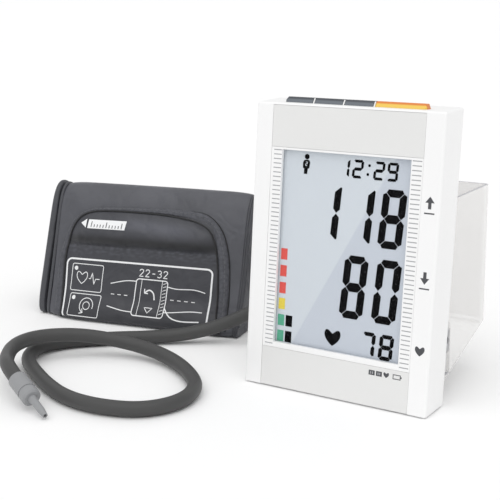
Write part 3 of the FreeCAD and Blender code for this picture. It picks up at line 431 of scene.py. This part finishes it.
# Metal bits: zinc-plated screws, the drawn cans of pump motor and valve, and the nickel-plated
# battery springs.
def plated(name, colour, roughness):
    """Plated or drawn metal with fine lines across it and a faint cloudiness."""
    material, tree, shader, place = blank(name)
    drawn = add(tree, "Mapping", {"Vector": place, "Scale": (9000.0, 300.0, 300.0)})["Vector"]
    lines = mottle(tree, drawn, scale=1.0, detail=2.0)
    cloud = mottle(tree, place, scale=90.0, detail=3.0)
    gloss = wander(tree, cloud, middle=roughness, spread=0.08)
    skin = raised(tree, lines, strength=0.2, depth=0.03 * mm)
    feed(tree, shader, {"Base Color": colour, "Metallic": 1.0, "Roughness": gloss, "Normal": skin})
    return material


screw_steel = plated("screw_steel", tone(190, 192, 194), roughness=0.32)
coat(screw_steel, "housing_screws", "holder_screws", "foot_screws")
coat(plated("motor_steel", tone(200, 201, 203), roughness=0.3), "pump_motor", "deflation_valve")
coat(plated("contact_nickel", tone(212, 209, 200), roughness=0.25), "battery_contacts")


# Insides: boards, chips, pump and cells, seen when the battery door is slid up. Solder mask is
# green, moulded resin parts are black, the cells have a plain grey sleeve.
chip_black = moulded("chip_black", tone(48, 48, 50), roughness=0.5, grain=0.4 * mm, depth=0.04 * mm,
                     drift=0.06)
pump_black = moulded("pump_black", tone(58, 58, 60), roughness=0.55, grain=0.5 * mm, drift=0.06)
board_green = moulded("board_green", tone(60, 122, 92), roughness=0.4, grain=1.2 * mm, depth=0.04 * mm,
                      drift=0.06)
cell_wrap = moulded("cell_wrap", tone(120, 126, 130), roughness=0.3, grain=0.8 * mm, depth=0.03 * mm,
                    drift=0.04)
tube_silicone = moulded("tube_silicone", tone(214, 214, 210), roughness=0.55, depth=0.04 * mm, drift=0.03)
coat(board_green, "main_board", "key_board")
coat(chip_black, "board_chips", "buzzer", "key_switches")
coat(pump_black, "pump_head", "air_manifold", "pressure_sensor")
coat(soft_rubber, "pump_sleeve")
coat(moulded("frame_white", tone(232, 232, 230), roughness=0.5), "lcd_frame", "battery_tray")
coat(moulded("light_guide", tone(238, 241, 244), roughness=0.3, depth=0.03 * mm), "lcd_backlight")
coat(cell_wrap, "batteries")
coat(tube_silicone, "air_tube")


# Cuff: a wide band of coated nylon with a rubber bladder in its pocket, wound into a flat roll that
# stands on its long edge. It is sewn as a bag and padded by its own layers, so it bulges a little.
cuff_turn = math.radians(10.4)
cuff_place = Matrix.Translation((-244.2 * mm, 8.3 * mm, 0)) @ Matrix.Rotation(cuff_turn, 4, "Z")
wave_length = 314.0 * mm


def woven(name, colour, roughness, pitch=0.42 * mm, depth=0.08 * mm, drift=0.12, cloud_size=30.0 * mm,
          painted_light_and_flecks=None):
    """Close-woven cloth: two sets of threads, uneven dye and slow ripples. An attribute of the mesh,
    when given, scales the colour with painted shade, painted highlight and lighter flecks. A wave at
    a scale of 1 is one wave_length long."""
    material, tree, shader, place = blank(name)
    along = add(tree, "Mapping", {"Vector": place, "Rotation": (0, 0, -cuff_turn)})["Vector"]
    waves = {"Vector": along, "Scale": wave_length / pitch, "Distortion": 0.6, "Detail": 1.0}
    warp = add(tree, "TexWave", waves, bands_direction="X")["Fac"]
    weft = add(tree, "TexWave", waves, bands_direction="Z")["Fac"]
    threads = add(tree, "Math", {0: warp, 1: weft}, operation="MAXIMUM")["Value"]
    cloud = mottle(tree, place, scale=1 / cloud_size, detail=4.0)
    level = wander(tree, cloud, middle=1.0, spread=drift)
    if painted_light_and_flecks:
        # Painted shade and painted highlight, with lighter flecks, read from the mesh.
        painted_level = add(tree, "Attribute", {}, attribute_name=painted_light_and_flecks)["Fac"]
        level = add(tree, "Math", {0: level, 1: painted_level}, operation="MULTIPLY")["Value"]
    tint = add(tree, "HueSaturation", {"Color": colour, "Value": level})["Color"]
    blots = {"Vector": place, "Scale": 55.0, "Detail": 2.0, "Distortion": 0.6}
    ripple = raised(tree, add(tree, "TexNoise", blots)["Fac"], strength=0.6, depth=4.0 * mm)
    weave = {"Height": threads, "Strength": 0.4, "Distance": depth, "Normal": ripple}
    skin = add(tree, "Bump", weave)["Normal"]
    feed(tree, shader, {"Base Color": tint, "Roughness": roughness, "Normal": skin, "Sheen Weight": 0.25,
                        "Sheen Roughness": 0.4, "Sheen Tint": tone(170, 172, 178)})
    return material


nylon = woven("nylon_dark", tone(78, 79, 85), roughness=0.42, drift=0.3)
cuff_section = ((12.0, 0.0), (3.0, 0.0), (0.6, 2.4), (3.2, 11.0), (8.3, 28.0), (14.9, 50.4),
                (21.5, 72.7), (26.6, 82.6), (34.2, 87.0), (43.2, 83.0), (49.0, 74.0), (55.2, 58.0),
                (57.6, 39.8), (57.3, 20.0), (54.9, 5.0), (49.5, 0.0), (30.0, 0.0))
roll_middle = 28.7
roll_top = 87.0
toe_reach = 8.0
toe_top = 18.0
toe_back = 20.0
toe_start = -3.0
toe_run = 24.0
toe_least_share = 0.15


def roll(stations, head=0.0, foot=0.0, lean=0.0):
    """A wound roll: the cuff's section drawn at each station (along, share, rise) and bridged. An end
    may be drawn in at its head and foot, and run out towards the table. The front spreads on the
    table, less so at the left."""
    form = bmesh.new()
    rings = []
    for along, share, rise in stations:
        spread = toe_reach * min(1.0, max(toe_least_share, (along - toe_start) / toe_run))
        corners = []
        for y, z in cuff_section:
            up = z / roll_top
            shift = (head if up > 0.5 else foot) * (2 * up - 1) ** 8 - lean * (1 - up)
            toe = spread * max(0.0, 1 - z / toe_top) if y < toe_back else 0.0
            depth = roll_middle + (y - toe - roll_middle) * share
            corners.append(form.verts.new((along + shift, depth, rise + z * share)))
        rings.append([form.edges.new((corners[k - 1], corners[k])) for k in range(len(corners))])
    for first, second in zip(rings, rings[1:]):
        bmesh.ops.bridge_loops(form, edges=first + second)
    bmesh.ops.holes_fill(form, edges=rings[0] + rings[-1])
    return form


def smoothed(made, levels):
    """Rounds a mesh by subdivision."""
    rounding = made.modifiers.new("rounding", "SUBSURF")
    rounding.levels = levels
    rounding.render_levels = levels


roll_end = 145.4
settle_steps = 20
held_width = 6.0 * mm
table_gap = 0.2 * mm


def settled(made, pressure, reach):
    """Blows the cloth up over its padding for a few frames; no point moves further than reach."""
    scene = bpy.context.scene
    start = [v.co.copy() for v in made.data.vertices]
    along = [(cuff_place.inverted() @ co).x for co in start]
    held = made.vertex_groups.new(name="held")
    held.add([k for k, x in enumerate(along) if min(x, roll_end * mm - x) < held_width], 1.0, "REPLACE")
    cloth = made.modifiers.new("cloth", "CLOTH")
    cloth.settings.vertex_group_mass = "held"
    cloth.settings.use_pressure = True
    cloth.settings.uniform_pressure_force = pressure
    cloth.settings.effector_weights.gravity = 0.0
    for step in range(settle_steps):
        scene.frame_set(step + 1)
    shape = made.evaluated_get(bpy.context.evaluated_depsgraph_get()).data
    blown = [v.co.copy() for v in shape.vertices]
    made.modifiers.remove(cloth)
    scene.frame_set(1)
    for vertex, old, new in zip(made.data.vertices, start, blown):
        move = new - old
        if move.length > reach:
            move = move * (reach / move.length)
        vertex.co = old + move
        vertex.co.z = max(vertex.co.z, table_gap)


def baked(made):
    """Turns the modifiers into plain mesh."""
    mesh = bpy.data.meshes.new_from_object(made.evaluated_get(bpy.context.evaluated_depsgraph_get()))
    made.modifiers.clear()
    made.data = mesh
    mesh.shade_smooth()


body_start = 14.0
body_pitch = 14.5
bulge_share = 1.012
body_stations = [(3.0, 0.95, 0.8), (3.6, 0.99, 0.3), (6.0, 1.003, 0.0)]
body_stations += [(body_start + body_pitch * k, bulge_share, 0.0) for k in range(9)]
body_stations += [(139.3, 1.003, 0.0), (141.8, 0.99, 0.3), (142.4, 0.95, 0.8)]
cuff = piece(roll(body_stations), "cuff_roll", cuff_place, nylon, smooth=True)
smoothed(cuff, levels=2)
baked(cuff)
settled(cuff, pressure=3.0, reach=1.4 * mm)
smoothed(cuff, levels=1)
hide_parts("cuff_body")
bladder_rubber = moulded("bladder_rubber", tone(92, 90, 90), roughness=0.7, grain=0.8 * mm, depth=0.08 * mm,
                         drift=0.05)
coat(bladder_rubber, "cuff_bladder")


# Wound edges: the layers end in bound hems at both ends of the roll. An inner layer stands out
# past the outer one at the left, and the winding shows as a flat spiral on the ends.
hem_cloth = woven("hem_cloth", tone(67, 68, 73), roughness=0.5)
left_face = -3.2
layer_count = 5
core_share = 0.34
layer_share = 0.13
edge_share = 0.04
groove_share = 0.065
groove_depth = 1.4
winding_middle = 40.0


def wound_end(along, depth):
    """Stations of an end face: the wound layers with a groove between each two."""
    stations = []
    for layer in range(layer_count):
        share = core_share + layer_share * layer
        rise = winding_middle * (1 - share)
        stations.append((along, share - edge_share, rise))
        stations.append((along, share + edge_share, rise))
        stations.append((along + depth, share + groove_share, rise))
    return stations


left_inner = wound_end(left_face, groove_depth)
left_inner += [(left_face, 0.955, 1.2), (-2.6, 0.99, 0.4), (-1.6, 1.016, 0.1),
               (0.6, 1.02, 0.0), (1.7, 1.0, 0.1), (2.0, 0.95, 0.8)]
left_outer = [(1.9, 0.95, 0.8), (2.2, 1.0, 0.1), (3.3, 1.01, 0.0), (4.6, 1.0, 0.1), (4.9, 0.95, 0.8)]
right_end = [(141.6, 0.95, 0.8), (141.8, 1.0, 0.1), (142.5, 1.008, 0.0), (143.2, 1.0, 0.1),
             (143.4, 0.985, 0.3), (143.6, 1.0, 0.1), (144.4, 1.006, 0.0), (145.1, 0.99, 0.3),
             (roll_end, 0.955, 1.2)]
right_end += reversed(wound_end(roll_end, -groove_depth))
for name, stations, head, foot, lean in (("hem_left_inner", left_inner, -1.8, 2.8, 4.2),
                                         ("hem_left_outer", left_outer, -1.0, 1.6, 2.0),
                                         ("hem_right", right_end, 0.0, 0.0, 0.0)):
    hem = piece(roll(stations, head, foot, lean), name, cuff_place, hem_cloth, smooth=True)
    smoothed(hem, levels=2)
    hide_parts("cuff_roll_edges")


# Flap: the cuff's closing flap lies on the front of the roll, a thin padded panel with a folded
# crease across it and its arched edge bound in woven tape with a black piped seam.
front_shift = 1.4 * mm
front_lean = math.radians(16.5)
front_turn = Matrix.Rotation(math.radians(90.0) - front_lean, 4, "X")
front_plane = cuff_place @ Matrix.Translation((front_shift, 0, 0)) @ front_turn
outward = (front_plane.to_3x3() @ Vector((0, 0, 1))).normalized()
hollow_depth = 1.0 * mm
cloth_gap = 1.5 * mm
ray_start = 50.0 * mm


def tree_of(made):
    """A mesh that points can be laid on."""
    return BVHTree.FromObject(made, bpy.context.evaluated_depsgraph_get())


def laid(tree, along, up, height):
    """A point on the front of the cuff, in mm along and up the leaning front, raised by height. Cloth
    spans hollows, so it stays within a millimetre of the flat front."""
    flat = front_plane @ Vector((along * mm, up * mm, 0.0))
    hit = tree.ray_cast(flat + outward * ray_start, -outward)[0]
    depth = -hollow_depth
    if hit:
        depth = max(depth, (hit - flat).dot(outward))
    place = flat + outward * (depth + height * mm)
    place.z = max(place.z, cloth_gap)
    return place


tape_outer = ((7.4, -1.8), (6.2, 18.0), (5.4, 36.6), (7.3, 46.0), (11.0, 58.6), (16.6, 68.4),
              (28.0, 74.6), (44.0, 76.2), (62.0, 77.0), (80.0, 77.6), (98.5, 77.6), (113.0, 75.8),
              (123.5, 67.8), (129.6, 55.0), (133.0, 36.0), (135.6, -1.8))
tape_inner = ((14.4, -1.8), (12.6, 18.0), (11.6, 37.1), (12.6, 48.0), (16.0, 60.0), (22.0, 68.8),
              (31.0, 72.6), (46.0, 73.8), (62.0, 74.0), (78.0, 73.8), (94.0, 72.6), (108.0, 70.2),
              (117.6, 65.0), (122.2, 54.0), (125.4, 36.0), (129.2, -1.8))


def eased(points, per_span):
    """A smooth line through points, with per_span steps between two of them."""
    line = []
    for k in range(len(points) - 1):
        before = Vector(points[max(k - 1, 0)])
        start = Vector(points[k])
        end = Vector(points[k + 1])
        after = Vector(points[min(k + 2, len(points) - 1)])
        bend = 2 * before - 5 * start + 4 * end - after
        twist = 3 * start - before - 3 * end + after
        for step in range(per_span):
            t = step / per_span
            line.append(0.5 * (2 * start + (end - before) * t + bend * t * t + twist * t ** 3))
    line.append(Vector(points[-1]))
    return line


cuff_tree = tree_of(cuff)
edge_line = eased(tape_outer, per_span=6)
seam_line = eased(tape_inner, per_span=6)
mid_line = [a.lerp(b, 0.5) for a, b in zip(edge_line, seam_line)]


def inside(point, line):
    """Whether a point lies within a closed line."""
    count = 0
    for a, b in zip(line, line[1:] + line[:1]):
        if (a.y > point.y) != (b.y > point.y):
            if point.x < a.x + (b.x - a.x) * (point.y - a.y) / (b.y - a.y):
                count += 1
    return count % 2 == 1


crease_left = 13.0
crease_low = 49.4
crease_slope = 0.012
crease_height = 0.9
panel_lift = 0.4
pucker_height = 0.28
swell_height = 4.0
swell_span = 24.0
swell_left = 11.0
swell_right = 124.0
side_fade = 12.0
tuck_along = 109.0
tuck_up = 66.5
tuck_slope = 0.4
tuck_depth = 0.9
shine_along = 80.0
shine_up = 64.5
shine_slope = 0.06
shine_reach = 26.0
foot_shade_top = 15.0


def crease_at(along):
    """Height of the crease that runs across the panel."""
    return crease_low + crease_slope * (along - crease_left)


def hump(distance, width):
    """A smooth bump, 1 at its middle."""
    return math.exp(-(distance / width) ** 2)


def flap_height(along, up):
    """Height of the padded panel over the roll: flat below the crease, swelling above it."""
    crease = crease_at(along)
    past = (up - crease) / swell_span
    gathers = 1 + math.sin(2.1 * along) * math.sin(0.37 * along)
    height = crease_height + pucker_height * gathers * hump(up - crease + 0.6, width=1.0)
    if past < 0:
        return height + panel_lift * (1 - math.exp(past * 16.0))
    side = max(0.0, min(1.0, (along - swell_left) / side_fade, (swell_right - along) / side_fade))
    swell = math.sin(math.pi * min(past, 1.0) ** 0.5) * side * side * (3 - 2 * side)
    beside = along - tuck_along
    tuck = hump(beside, width=5.0) * hump(up - tuck_up + tuck_slope * beside, width=1.6)
    return height + swell_height * swell + panel_lift * min(past * 6.0, 1.0) - tuck_depth * tuck


def flap_painted_light_and_flecks(along, up):
    """Brightness factor of the panel's cloth: painted light and shade. Lighter flecks just below the
    crease, painted shade where the cloth turns under above it and towards its foot, and a painted
    highlight over the swelling."""
    past = up - crease_at(along)
    fleck = max(0.0, 0.25 + noise.noise((0.31 * along, 0.9 * up, 0.0)))
    crease_flecks = fleck * (1.7 * hump(past + 0.9, width=0.9) + 0.8 * hump(past + 4.0, width=2.6))
    if past < 0:
        # Below the crease: painted shade towards the foot.
        return 1.0 + crease_flecks - 0.45 * max(0.0, 1 - up / foot_shade_top)
    # Painted shade where the cloth turns under, and a painted highlight over the swelling.
    under = 0.74 * hump(past - 3.6, width=3.4)
    beside = along - shine_along
    shine = 1.1 * hump(up - shine_up + shine_slope * beside, width=4.4)
    return 1.0 + crease_flecks - under + shine * math.exp(-(beside / shine_reach) ** 4)


panel_width = 136.0
panel_height = 82.6
panel_middle = (71.0, 39.5)
panel = bmesh.new()
bmesh.ops.create_grid(panel, x_segments=136, y_segments=83, size=0.5)
# The panel's points carry a brightness factor: painted shade and painted highlight, with lighter flecks.
painted_light_and_flecks = panel.verts.layers.float.new("painted_light_and_flecks")
for vert in panel.verts:
    along = panel_middle[0] + panel_width * vert.co.x
    up = panel_middle[1] + panel_height * vert.co.y
    vert.co = (along, up, 0.0)
    vert[painted_light_and_flecks] = flap_painted_light_and_flecks(vert.co.x, vert.co.y)
outside = [f for f in panel.faces if not inside(f.calc_center_median().xy, mid_line)]
bmesh.ops.delete(panel, geom=outside, context="FACES")
for vert in panel.verts:
    vert.co = laid(cuff_tree, vert.co.x, vert.co.y, flap_height(vert.co.x, vert.co.y)) / mm
# The flap cloth is scaled by that factor, so it carries painted light and shade.
flap_cloth = woven("flap_cloth", tone(58, 59, 65), roughness=0.42, painted_light_and_flecks="painted_light_and_flecks")
panel_piece = piece(panel, "flap_panel", Matrix(), flap_cloth, smooth=True)
thicken = panel_piece.modifiers.new("thickness", "SOLIDIFY")
thicken.thickness = 1.2 * mm
thicken.offset = -1.0
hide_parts("cuff_flap")
panel_tree = tree_of(panel_piece)

tape_cloth = woven("tape_woven", tone(79, 80, 86), roughness=0.75, pitch=1.2 * mm, depth=0.2 * mm,
                   drift=0.55, cloud_size=2.2 * mm)
tape_thick = 2.3
tape_sink = 0.2
tape_steps = len(edge_line) - 1
tape = bmesh.new()
bmesh.ops.create_grid(tape, x_segments=tape_steps, y_segments=8, size=0.5)
for vert in tape.verts:
    station = round((vert.co.x + 0.5) * tape_steps)
    share = vert.co.y + 0.5
    flat = edge_line[station].lerp(seam_line[station], share)
    rise = tape_thick * (1 - abs(2 * share - 1) ** 6) - tape_sink
    vert.co = laid(cuff_tree, flat.x, flat.y, rise) / mm
binding = piece(tape, "flap_tape", Matrix(), tape_cloth, smooth=True)
smoothed(binding, levels=1)
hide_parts("flap_binding")


def piped(name, lines, radius, material, lead=0):
    """Thin round cords or threads along lines, sewn ones or a dark cord of painted shade; each comes up out
    of the cloth over lead points.
    """
    line = bpy.data.curves.new(name, "CURVE")
    line.dimensions = "3D"
    line.bevel_depth = radius
    line.bevel_resolution = 3
    line.use_fill_caps = True
    for places in lines:
        spline = line.splines.new("POLY")
        spline.points.add(len(places) - 1)
        for count, (point, place) in enumerate(zip(spline.points, places), 1):
            point.co = (place.x, place.y, place.z, 1.0)
            point.radius = min(1.0, count / (lead + 1))
    line.materials.append(material)
    made = bpy.data.objects.new(name, line)
    bpy.context.scene.collection.objects.link(made)
    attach(made, "monitor")


# A thin black cord along the right part of the tape's outer edge is painted shade: the shadow line where the
# tape rises from the roll.
edge_shade_start = 100.0
seam_black = woven("seam_black", tone(30, 30, 32), roughness=0.6, pitch=0.6 * mm, drift=0.05)
piping_places = [laid(panel_tree, p.x, p.y, height=0.35) for p in seam_line]
edge_shade_places = [laid(cuff_tree, p.x, p.y, height=0.2) for p in edge_line if p.x > edge_shade_start]
piping_radius = 0.6 * mm
edge_shade_radius = 0.4 * mm
piped("flap_piping", [piping_places], piping_radius, seam_black)
piped("tape_edge_shade", [edge_shade_places], edge_shade_radius, seam_black, lead=10)


# Tape seam: a row of lock stitches along the bound edge, sewn by machine in dark grey polyester
# thread through tape and panel.
ribbon_step = 1.2


def ribbon(form, tree, points, width, height, closed=False):
    """A line of one width through points in mm, lying on the cuff's front."""
    line = [Vector(p) for p in points]
    if closed:
        line.append(line[0])
    fine = []
    for a, b in zip(line, line[1:]):
        count = max(1, round((b - a).length / ribbon_step))
        fine += [a.lerp(b, k / count) for k in range(count)]
    fine.append(line[-1])
    sides = []
    for k, point in enumerate(fine):
        ahead = fine[min(k + 1, len(fine) - 1)]
        behind = fine[max(k - 1, 0)]
        if closed and k in (0, len(fine) - 1):
            ahead = fine[1]
            behind = fine[-2]
        run = (ahead - behind).normalized()
        off = Vector((run.y, -run.x)) * width / 2
        edges = (point + off, point - off)
        sides.append([form.verts.new(laid(tree, q.x, q.y, height) / mm) for q in edges])
    for (a, b), (c, d) in zip(sides, sides[1:]):
        form.faces.new((a, b, d, c))


def stitched(line, length, pitch):
    """The two ends of each stitch along a line."""
    ends = []
    walk = 0.0
    for start, end in zip(line, line[1:]):
        run = (end - start).length
        while walk < run:
            ends.append((start.lerp(end, walk / run), start.lerp(end, (walk + length) / run)))
            walk += pitch
        walk -= run
    return ends


stitch_share = 0.35
stitch_line = [a.lerp(b, stitch_share) for a, b in zip(edge_line, seam_line)]
stitches = bmesh.new()
tape_tree = tree_of(binding)
for ends in stitched(stitch_line, length=1.9, pitch=3.0):
    ribbon(stitches, tape_tree, ends, width=0.5, height=0.12)
thread = moulded("thread_grey", tone(92, 93, 97), roughness=0.7, grain=0.4 * mm, depth=0.05 * mm, drift=0.1)
piece(stitches, "tape_stitches", Matrix(), thread)


# Cuff print: white screen-printed lines on the flap. A rounded frame holds two small boxes with plain
# signs, a limb outline with a band, and plain figures; a white index tag with an arrow stands above.
ink_white = moulded("ink_white", tone(240, 241, 242), roughness=0.6, depth=0.03 * mm, drift=0.04)
ink_height = 0.16
prints = bmesh.new()


def arc(across, up, radius, start, end, count=16):
    """Points along part of a circle, from one bearing in degrees to another."""
    turns = [math.radians(start + (end - start) * k / count) for k in range(count + 1)]
    return [(across + radius * math.cos(turn), up + radius * math.sin(turn)) for turn in turns]


def rounded_box(left, right, low, top, radius):
    """Outline of a box with rounded corners."""
    near = left + radius
    far = right - radius
    foot = low + radius
    head = top - radius
    return (arc(far, head, radius, 90, 0, 4) + arc(far, foot, radius, 0, -90, 4)
            + arc(near, foot, radius, -90, -180, 4) + arc(near, head, radius, -180, -270, 4))


def inked(points, width, closed=False):
    """A printed line on the flap."""
    ribbon(prints, panel_tree, points, width, ink_height, closed)


frame_line = 1.2
box_line = 0.5
sign_line = 0.55
limb_line = 0.6
band_line = 0.7
thin_line = 0.4
dot_line = 1.0
dot_rim_line = 1.1
turn_line = 0.9
tube_line = 0.8
hatch_low = 8.4
hatch_pitch = 2.2
dash_up = 18.6
dash_length = 2.6
inked([(21.6, -0.2)] + arc(18.8, 3.3, 3.5, -90, -180, 5) + arc(17.0, 36.2, 3.6, 180, 90, 5)
      + arc(118.0, 37.0, 3.6, 90, 0, 5) + [(122.4, 2.0)], frame_line)
inked(rounded_box(left=18.2, right=42.2, low=18.6, top=36.6, radius=1.2), box_line, closed=True)
inked(rounded_box(left=19.4, right=43.2, low=1.6, top=16.6, radius=1.2), box_line, closed=True)
for along, up in ((21.2, 33.6), (22.2, 13.8)):
    inked([(along - dot_line / 2, up), (along + dot_line / 2, up)], dot_line)
    inked(arc(along, up, 0.9, 0, 360, 10), dot_rim_line)
inked(heart(26.4, low=23.4, width=8.4, height=8.0), sign_line, closed=True)
inked([(31.8, 27.2), (33.2, 27.2), (34.4, 31.2), (36.0, 23.6), (37.2, 27.2), (40.2, 27.2)], sign_line)
inked(arc(33.2, 9.0, 5.2, -20, 250), sign_line)
inked(arc(33.2, 9.0, 2.6, 0, 360), box_line)
inked([(28.6, 3.5), (31.4, 4.1), (30.3, 6.8)], sign_line)
for limb in (((49.0, 25.5), (60.0, 28.2), (68.0, 28.6)),
             ((91.0, 26.9), (98.0, 26.0), (110.0, 26.6), (118.0, 25.2)),
             ((49.0, 10.5), (60.0, 8.6), (68.0, 8.2)),
             ((91.0, 10.0), (98.0, 10.8), (110.0, 12.4), (118.0, 12.6))):
    inked(eased(limb, per_span=4), limb_line)
inked(rounded_box(left=68.0, right=91.0, low=6.2, top=30.4, radius=2.0), band_line, closed=True)
inked([(72.0, 30.2), (72.0, 6.4)], thin_line)
inked([(87.0, 30.2), (87.0, 6.4)], thin_line)
for step in range(10):
    level = hatch_low + hatch_pitch * step
    inked([(87.8, level), (90.2, level + 1.0)], thin_line)
inked(eased(((82.6, 17.4), (81.6, 21.6), (78.4, 23.6), (75.4, 21.8)), per_span=4), turn_line)
inked([(77.6, 21.2), (75.0, 21.4), (74.8, 24.2)], band_line)
inked(eased(((91.0, 13.0), (96.0, 7.6), (104.0, 5.6), (117.0, 6.4)), per_span=4), tube_line)
inked([(76.6, 12.0), (79.5, 8.6), (82.4, 12.0)], box_line, closed=True)
for along in (50.0, 55.0, 60.0, 94.0, 99.0, 104.0, 109.0):
    inked([(along, dash_up), (along + dash_length, dash_up)], box_line)
numerals = {"2": ((0, 0.76), (0.12, 0.94), (0.5, 1), (0.88, 0.92), (0.95, 0.68), (0.5, 0.34), (0, 0), (1, 0)),
            "3": ((0, 0.9), (0.5, 1), (0.9, 0.86), (0.86, 0.62), (0.44, 0.53), (0.9, 0.44), (0.97, 0.18),
                  (0.5, 0), (0, 0.1)),
            "-": ((0.2, 0.48), (0.9, 0.48))}
numeral_left = 69.6
numeral_low = 32.2
numeral_pitch = 4.4
numeral_width = 2.9
numeral_height = 4.6
for count, sign in enumerate("22-32"):
    left = numeral_left + numeral_pitch * count
    shape = [(left + numeral_width * u, numeral_low + numeral_height * v) for u, v in numerals[sign]]
    inked(shape, limb_line)


def patch(form, corners, steps):
    """A printed field between four corners in mm, lying on the panel."""
    first, second, third, fourth = (Vector(c) for c in corners)
    made = bmesh.ops.create_grid(form, x_segments=steps, y_segments=4, size=0.5)["verts"]
    for vert in made:
        low = first.lerp(second, vert.co.x + 0.5)
        high = fourth.lerp(third, vert.co.x + 0.5)
        flat = low.lerp(high, vert.co.y + 0.5)
        vert.co = laid(panel_tree, flat.x, flat.y, ink_height) / mm


patch(prints, ((28.2, 60.8), (56.6, 61.2), (57.0, 67.4), (28.2, 66.9)), steps=22)
patch(prints, ((22.8, 64.1), (27.0, 61.1), (26.6, 67.2), (22.8, 64.3)), steps=4)
piece(prints, "cuff_print", Matrix(), ink_white)
tag_mark_left = 31.0
tag_mark_pitch = 2.3
tag_mark_low = 61.8
long_mark_top = 65.6
short_mark_top = 63.8
tag_marks = bmesh.new()
for mark in range(11):
    across = tag_mark_left + tag_mark_pitch * mark
    top = long_mark_top if mark % 5 == 0 else short_mark_top
    ribbon(tag_marks, panel_tree, ((across, tag_mark_low), (across, top)), width=0.5, height=0.28)
piece(tag_marks, "tag_marks", Matrix(), seam_black)


# Pocket seam: the bladder's pocket is closed by a rectangle of lock stitches in a paler thread,
# seen on the back of the roll.
behind_cuff = 120.0 * mm
thread_rise = 0.1 * mm


def on_back(along, up):
    """A point on the back of the cuff, in mm along and up."""
    start = cuff_place @ Vector((along * mm, behind_cuff, up * mm))
    hit, normal = cuff_tree.ray_cast(start, cuff_place.to_3x3() @ Vector((0, -1, 0)))[:2]
    return hit + normal * thread_rise


pocket = [Vector(p) for p in rounded_box(left=14.0, right=130.0, low=13.0, top=66.0, radius=6.0)]
pocket_ends = stitched(pocket + pocket[:1], length=2.2, pitch=3.2)
pocket_threads = [[on_back(*a), on_back(*b)] for a, b in pocket_ends]
pocket_thread = moulded("pocket_thread", tone(112, 113, 118), roughness=0.7, grain=0.4 * mm, depth=0.05 * mm,
                        drift=0.1)
thread_radius = 0.28 * mm
piped("pocket_stitches", pocket_threads, thread_radius, pocket_thread)


# Hose: a limp rubber air hose leaves the cuff through a tapered sleeve, turns behind the slab, lies
# on the table in front of the cuff and ends in a grey plug with a slim nozzle.
hose_route = ((-101.9, 82.3, 37.0), (-85.2, 77.9, 37.0), (-74, 65, 36), (-72, 48, 32), (-80, 33, 25),
              (-103, 20, 12), (-122, 8, 6), (-141, -6, 4.6), (-160, -18, 4.4), (-182, -37.5, 4.4),
              (-190, -56, 4.6), (-181.5, -75, 4.6), (-163, -88.5, 4.7), (-138, -103, 4.4),
              (-115, -112, 4.4), (-92, -112, 4.5), (-71, -104, 4.4), (-60.5, -85, 4.4), (-65.5, -63, 4.5),
              (-82, -47, 4.7), (-102, -35, 5.2), (-124, -30, 7.0), (-146, -34, 10.0), (-166, -46, 13.8),
              (-182.5, -63, 14.8), (-183.5, -82.5, 14.8), (-170, -102.5, 15.0), (-155.05, -116.0, 16.5),
              (-143.5, -120.6, 12.7))
hose_radius = 4.2 * mm
hose_grey = moulded("hose_grey", tone(76, 76, 76), roughness=0.46, depth=0.05 * mm, drift=0.05, specular=0.25)
hose_line = bpy.data.curves.new("air_hose", "CURVE")
hose_line.dimensions = "3D"
hose_line.bevel_depth = hose_radius
hose_line.bevel_resolution = 6
hose_line.resolution_u = 12
hose_line.use_fill_caps = True
hose_spline = hose_line.splines.new("NURBS")
hose_spline.points.add(len(hose_route) - 1)
for point, place in zip(hose_spline.points, hose_route):
    point.co = (place[0] * mm, place[1] * mm, place[2] * mm, 1.0)
hose_spline.order_u = 3
hose_spline.use_endpoint_u = True
hose_line.materials.append(hose_grey)
hose = bpy.data.objects.new("air_hose", hose_line)
bpy.context.scene.collection.objects.link(hose)
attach(hose, "monitor")
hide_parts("hose")
coat(moulded("gland_rubber", tone(60, 60, 62), roughness=0.6, drift=0.05), "hose_gland")
plug_grey = moulded("plug_grey", tone(150, 151, 153), roughness=0.45, grain=0.5 * mm, depth=0.05 * mm,
                    drift=0.03, specular=0.25)
coat(plug_grey, "plug_sleeve", "plug_nozzle")


# Studio: a pale table under an even white sky, with a very broad soft sun above and in front. The
# camera stands at the right and looks down a little.
table_reach = 12.0
floor_form = bmesh.new()
bmesh.ops.create_grid(floor_form, x_segments=1, y_segments=1, size=table_reach)
floor_mesh = bpy.data.meshes.new("table_top")
floor_form.to_mesh(floor_mesh)
floor_form.free()
table_pale = moulded("table_pale", tone(253, 253, 253), roughness=0.8, grain=4.0 * mm, depth=0.02 * mm,
                     drift=0.0)
floor_mesh.materials.append(table_pale)
table_top = bpy.data.objects.new("table_top", floor_mesh)
bpy.context.scene.collection.objects.link(table_top)
table_top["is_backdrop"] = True

sky = bpy.data.worlds.new("sky")
sky.use_nodes = True
feed(sky.node_tree, sky.node_tree.nodes["Background"], {"Color": (1.0, 1.0, 1.0, 1.0), "Strength": 0.74})
bpy.context.scene.world = sky

sun_way = Vector((-0.1, 0.38, -0.92))
sun_light = bpy.data.lights.new("soft_sun", "SUN")
sun_light.energy = 1.05
sun_light.angle = math.radians(70.0)
soft_sun = bpy.data.objects.new("soft_sun", sun_light)
bpy.context.scene.collection.objects.link(soft_sun)
soft_sun.rotation_euler = sun_way.to_track_quat("-Z", "Y").to_euler()
soft_sun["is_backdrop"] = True

eye_place = Matrix.Translation((0.2742, -0.5306, 0.2235))
eye_turn = Matrix.Rotation(math.radians(33.03), 4, "Z")
eye_tilt = Matrix.Rotation(math.radians(90.0 - 13.80), 4, "X")
eye_roll = Matrix.Rotation(math.radians(-0.783), 4, "Z")
eye = bpy.data.cameras.new("eye")
eye.lens = 80.53
eye.sensor_width = 36.0
camera = bpy.data.objects.new("eye", eye)
bpy.context.scene.collection.objects.link(camera)
camera.matrix_world = eye_place @ eye_turn @ eye_tilt @ eye_roll
bpy.context.scene.camera = camera
bpy.context.scene.view_settings.view_transform = "Standard"

low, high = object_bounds()
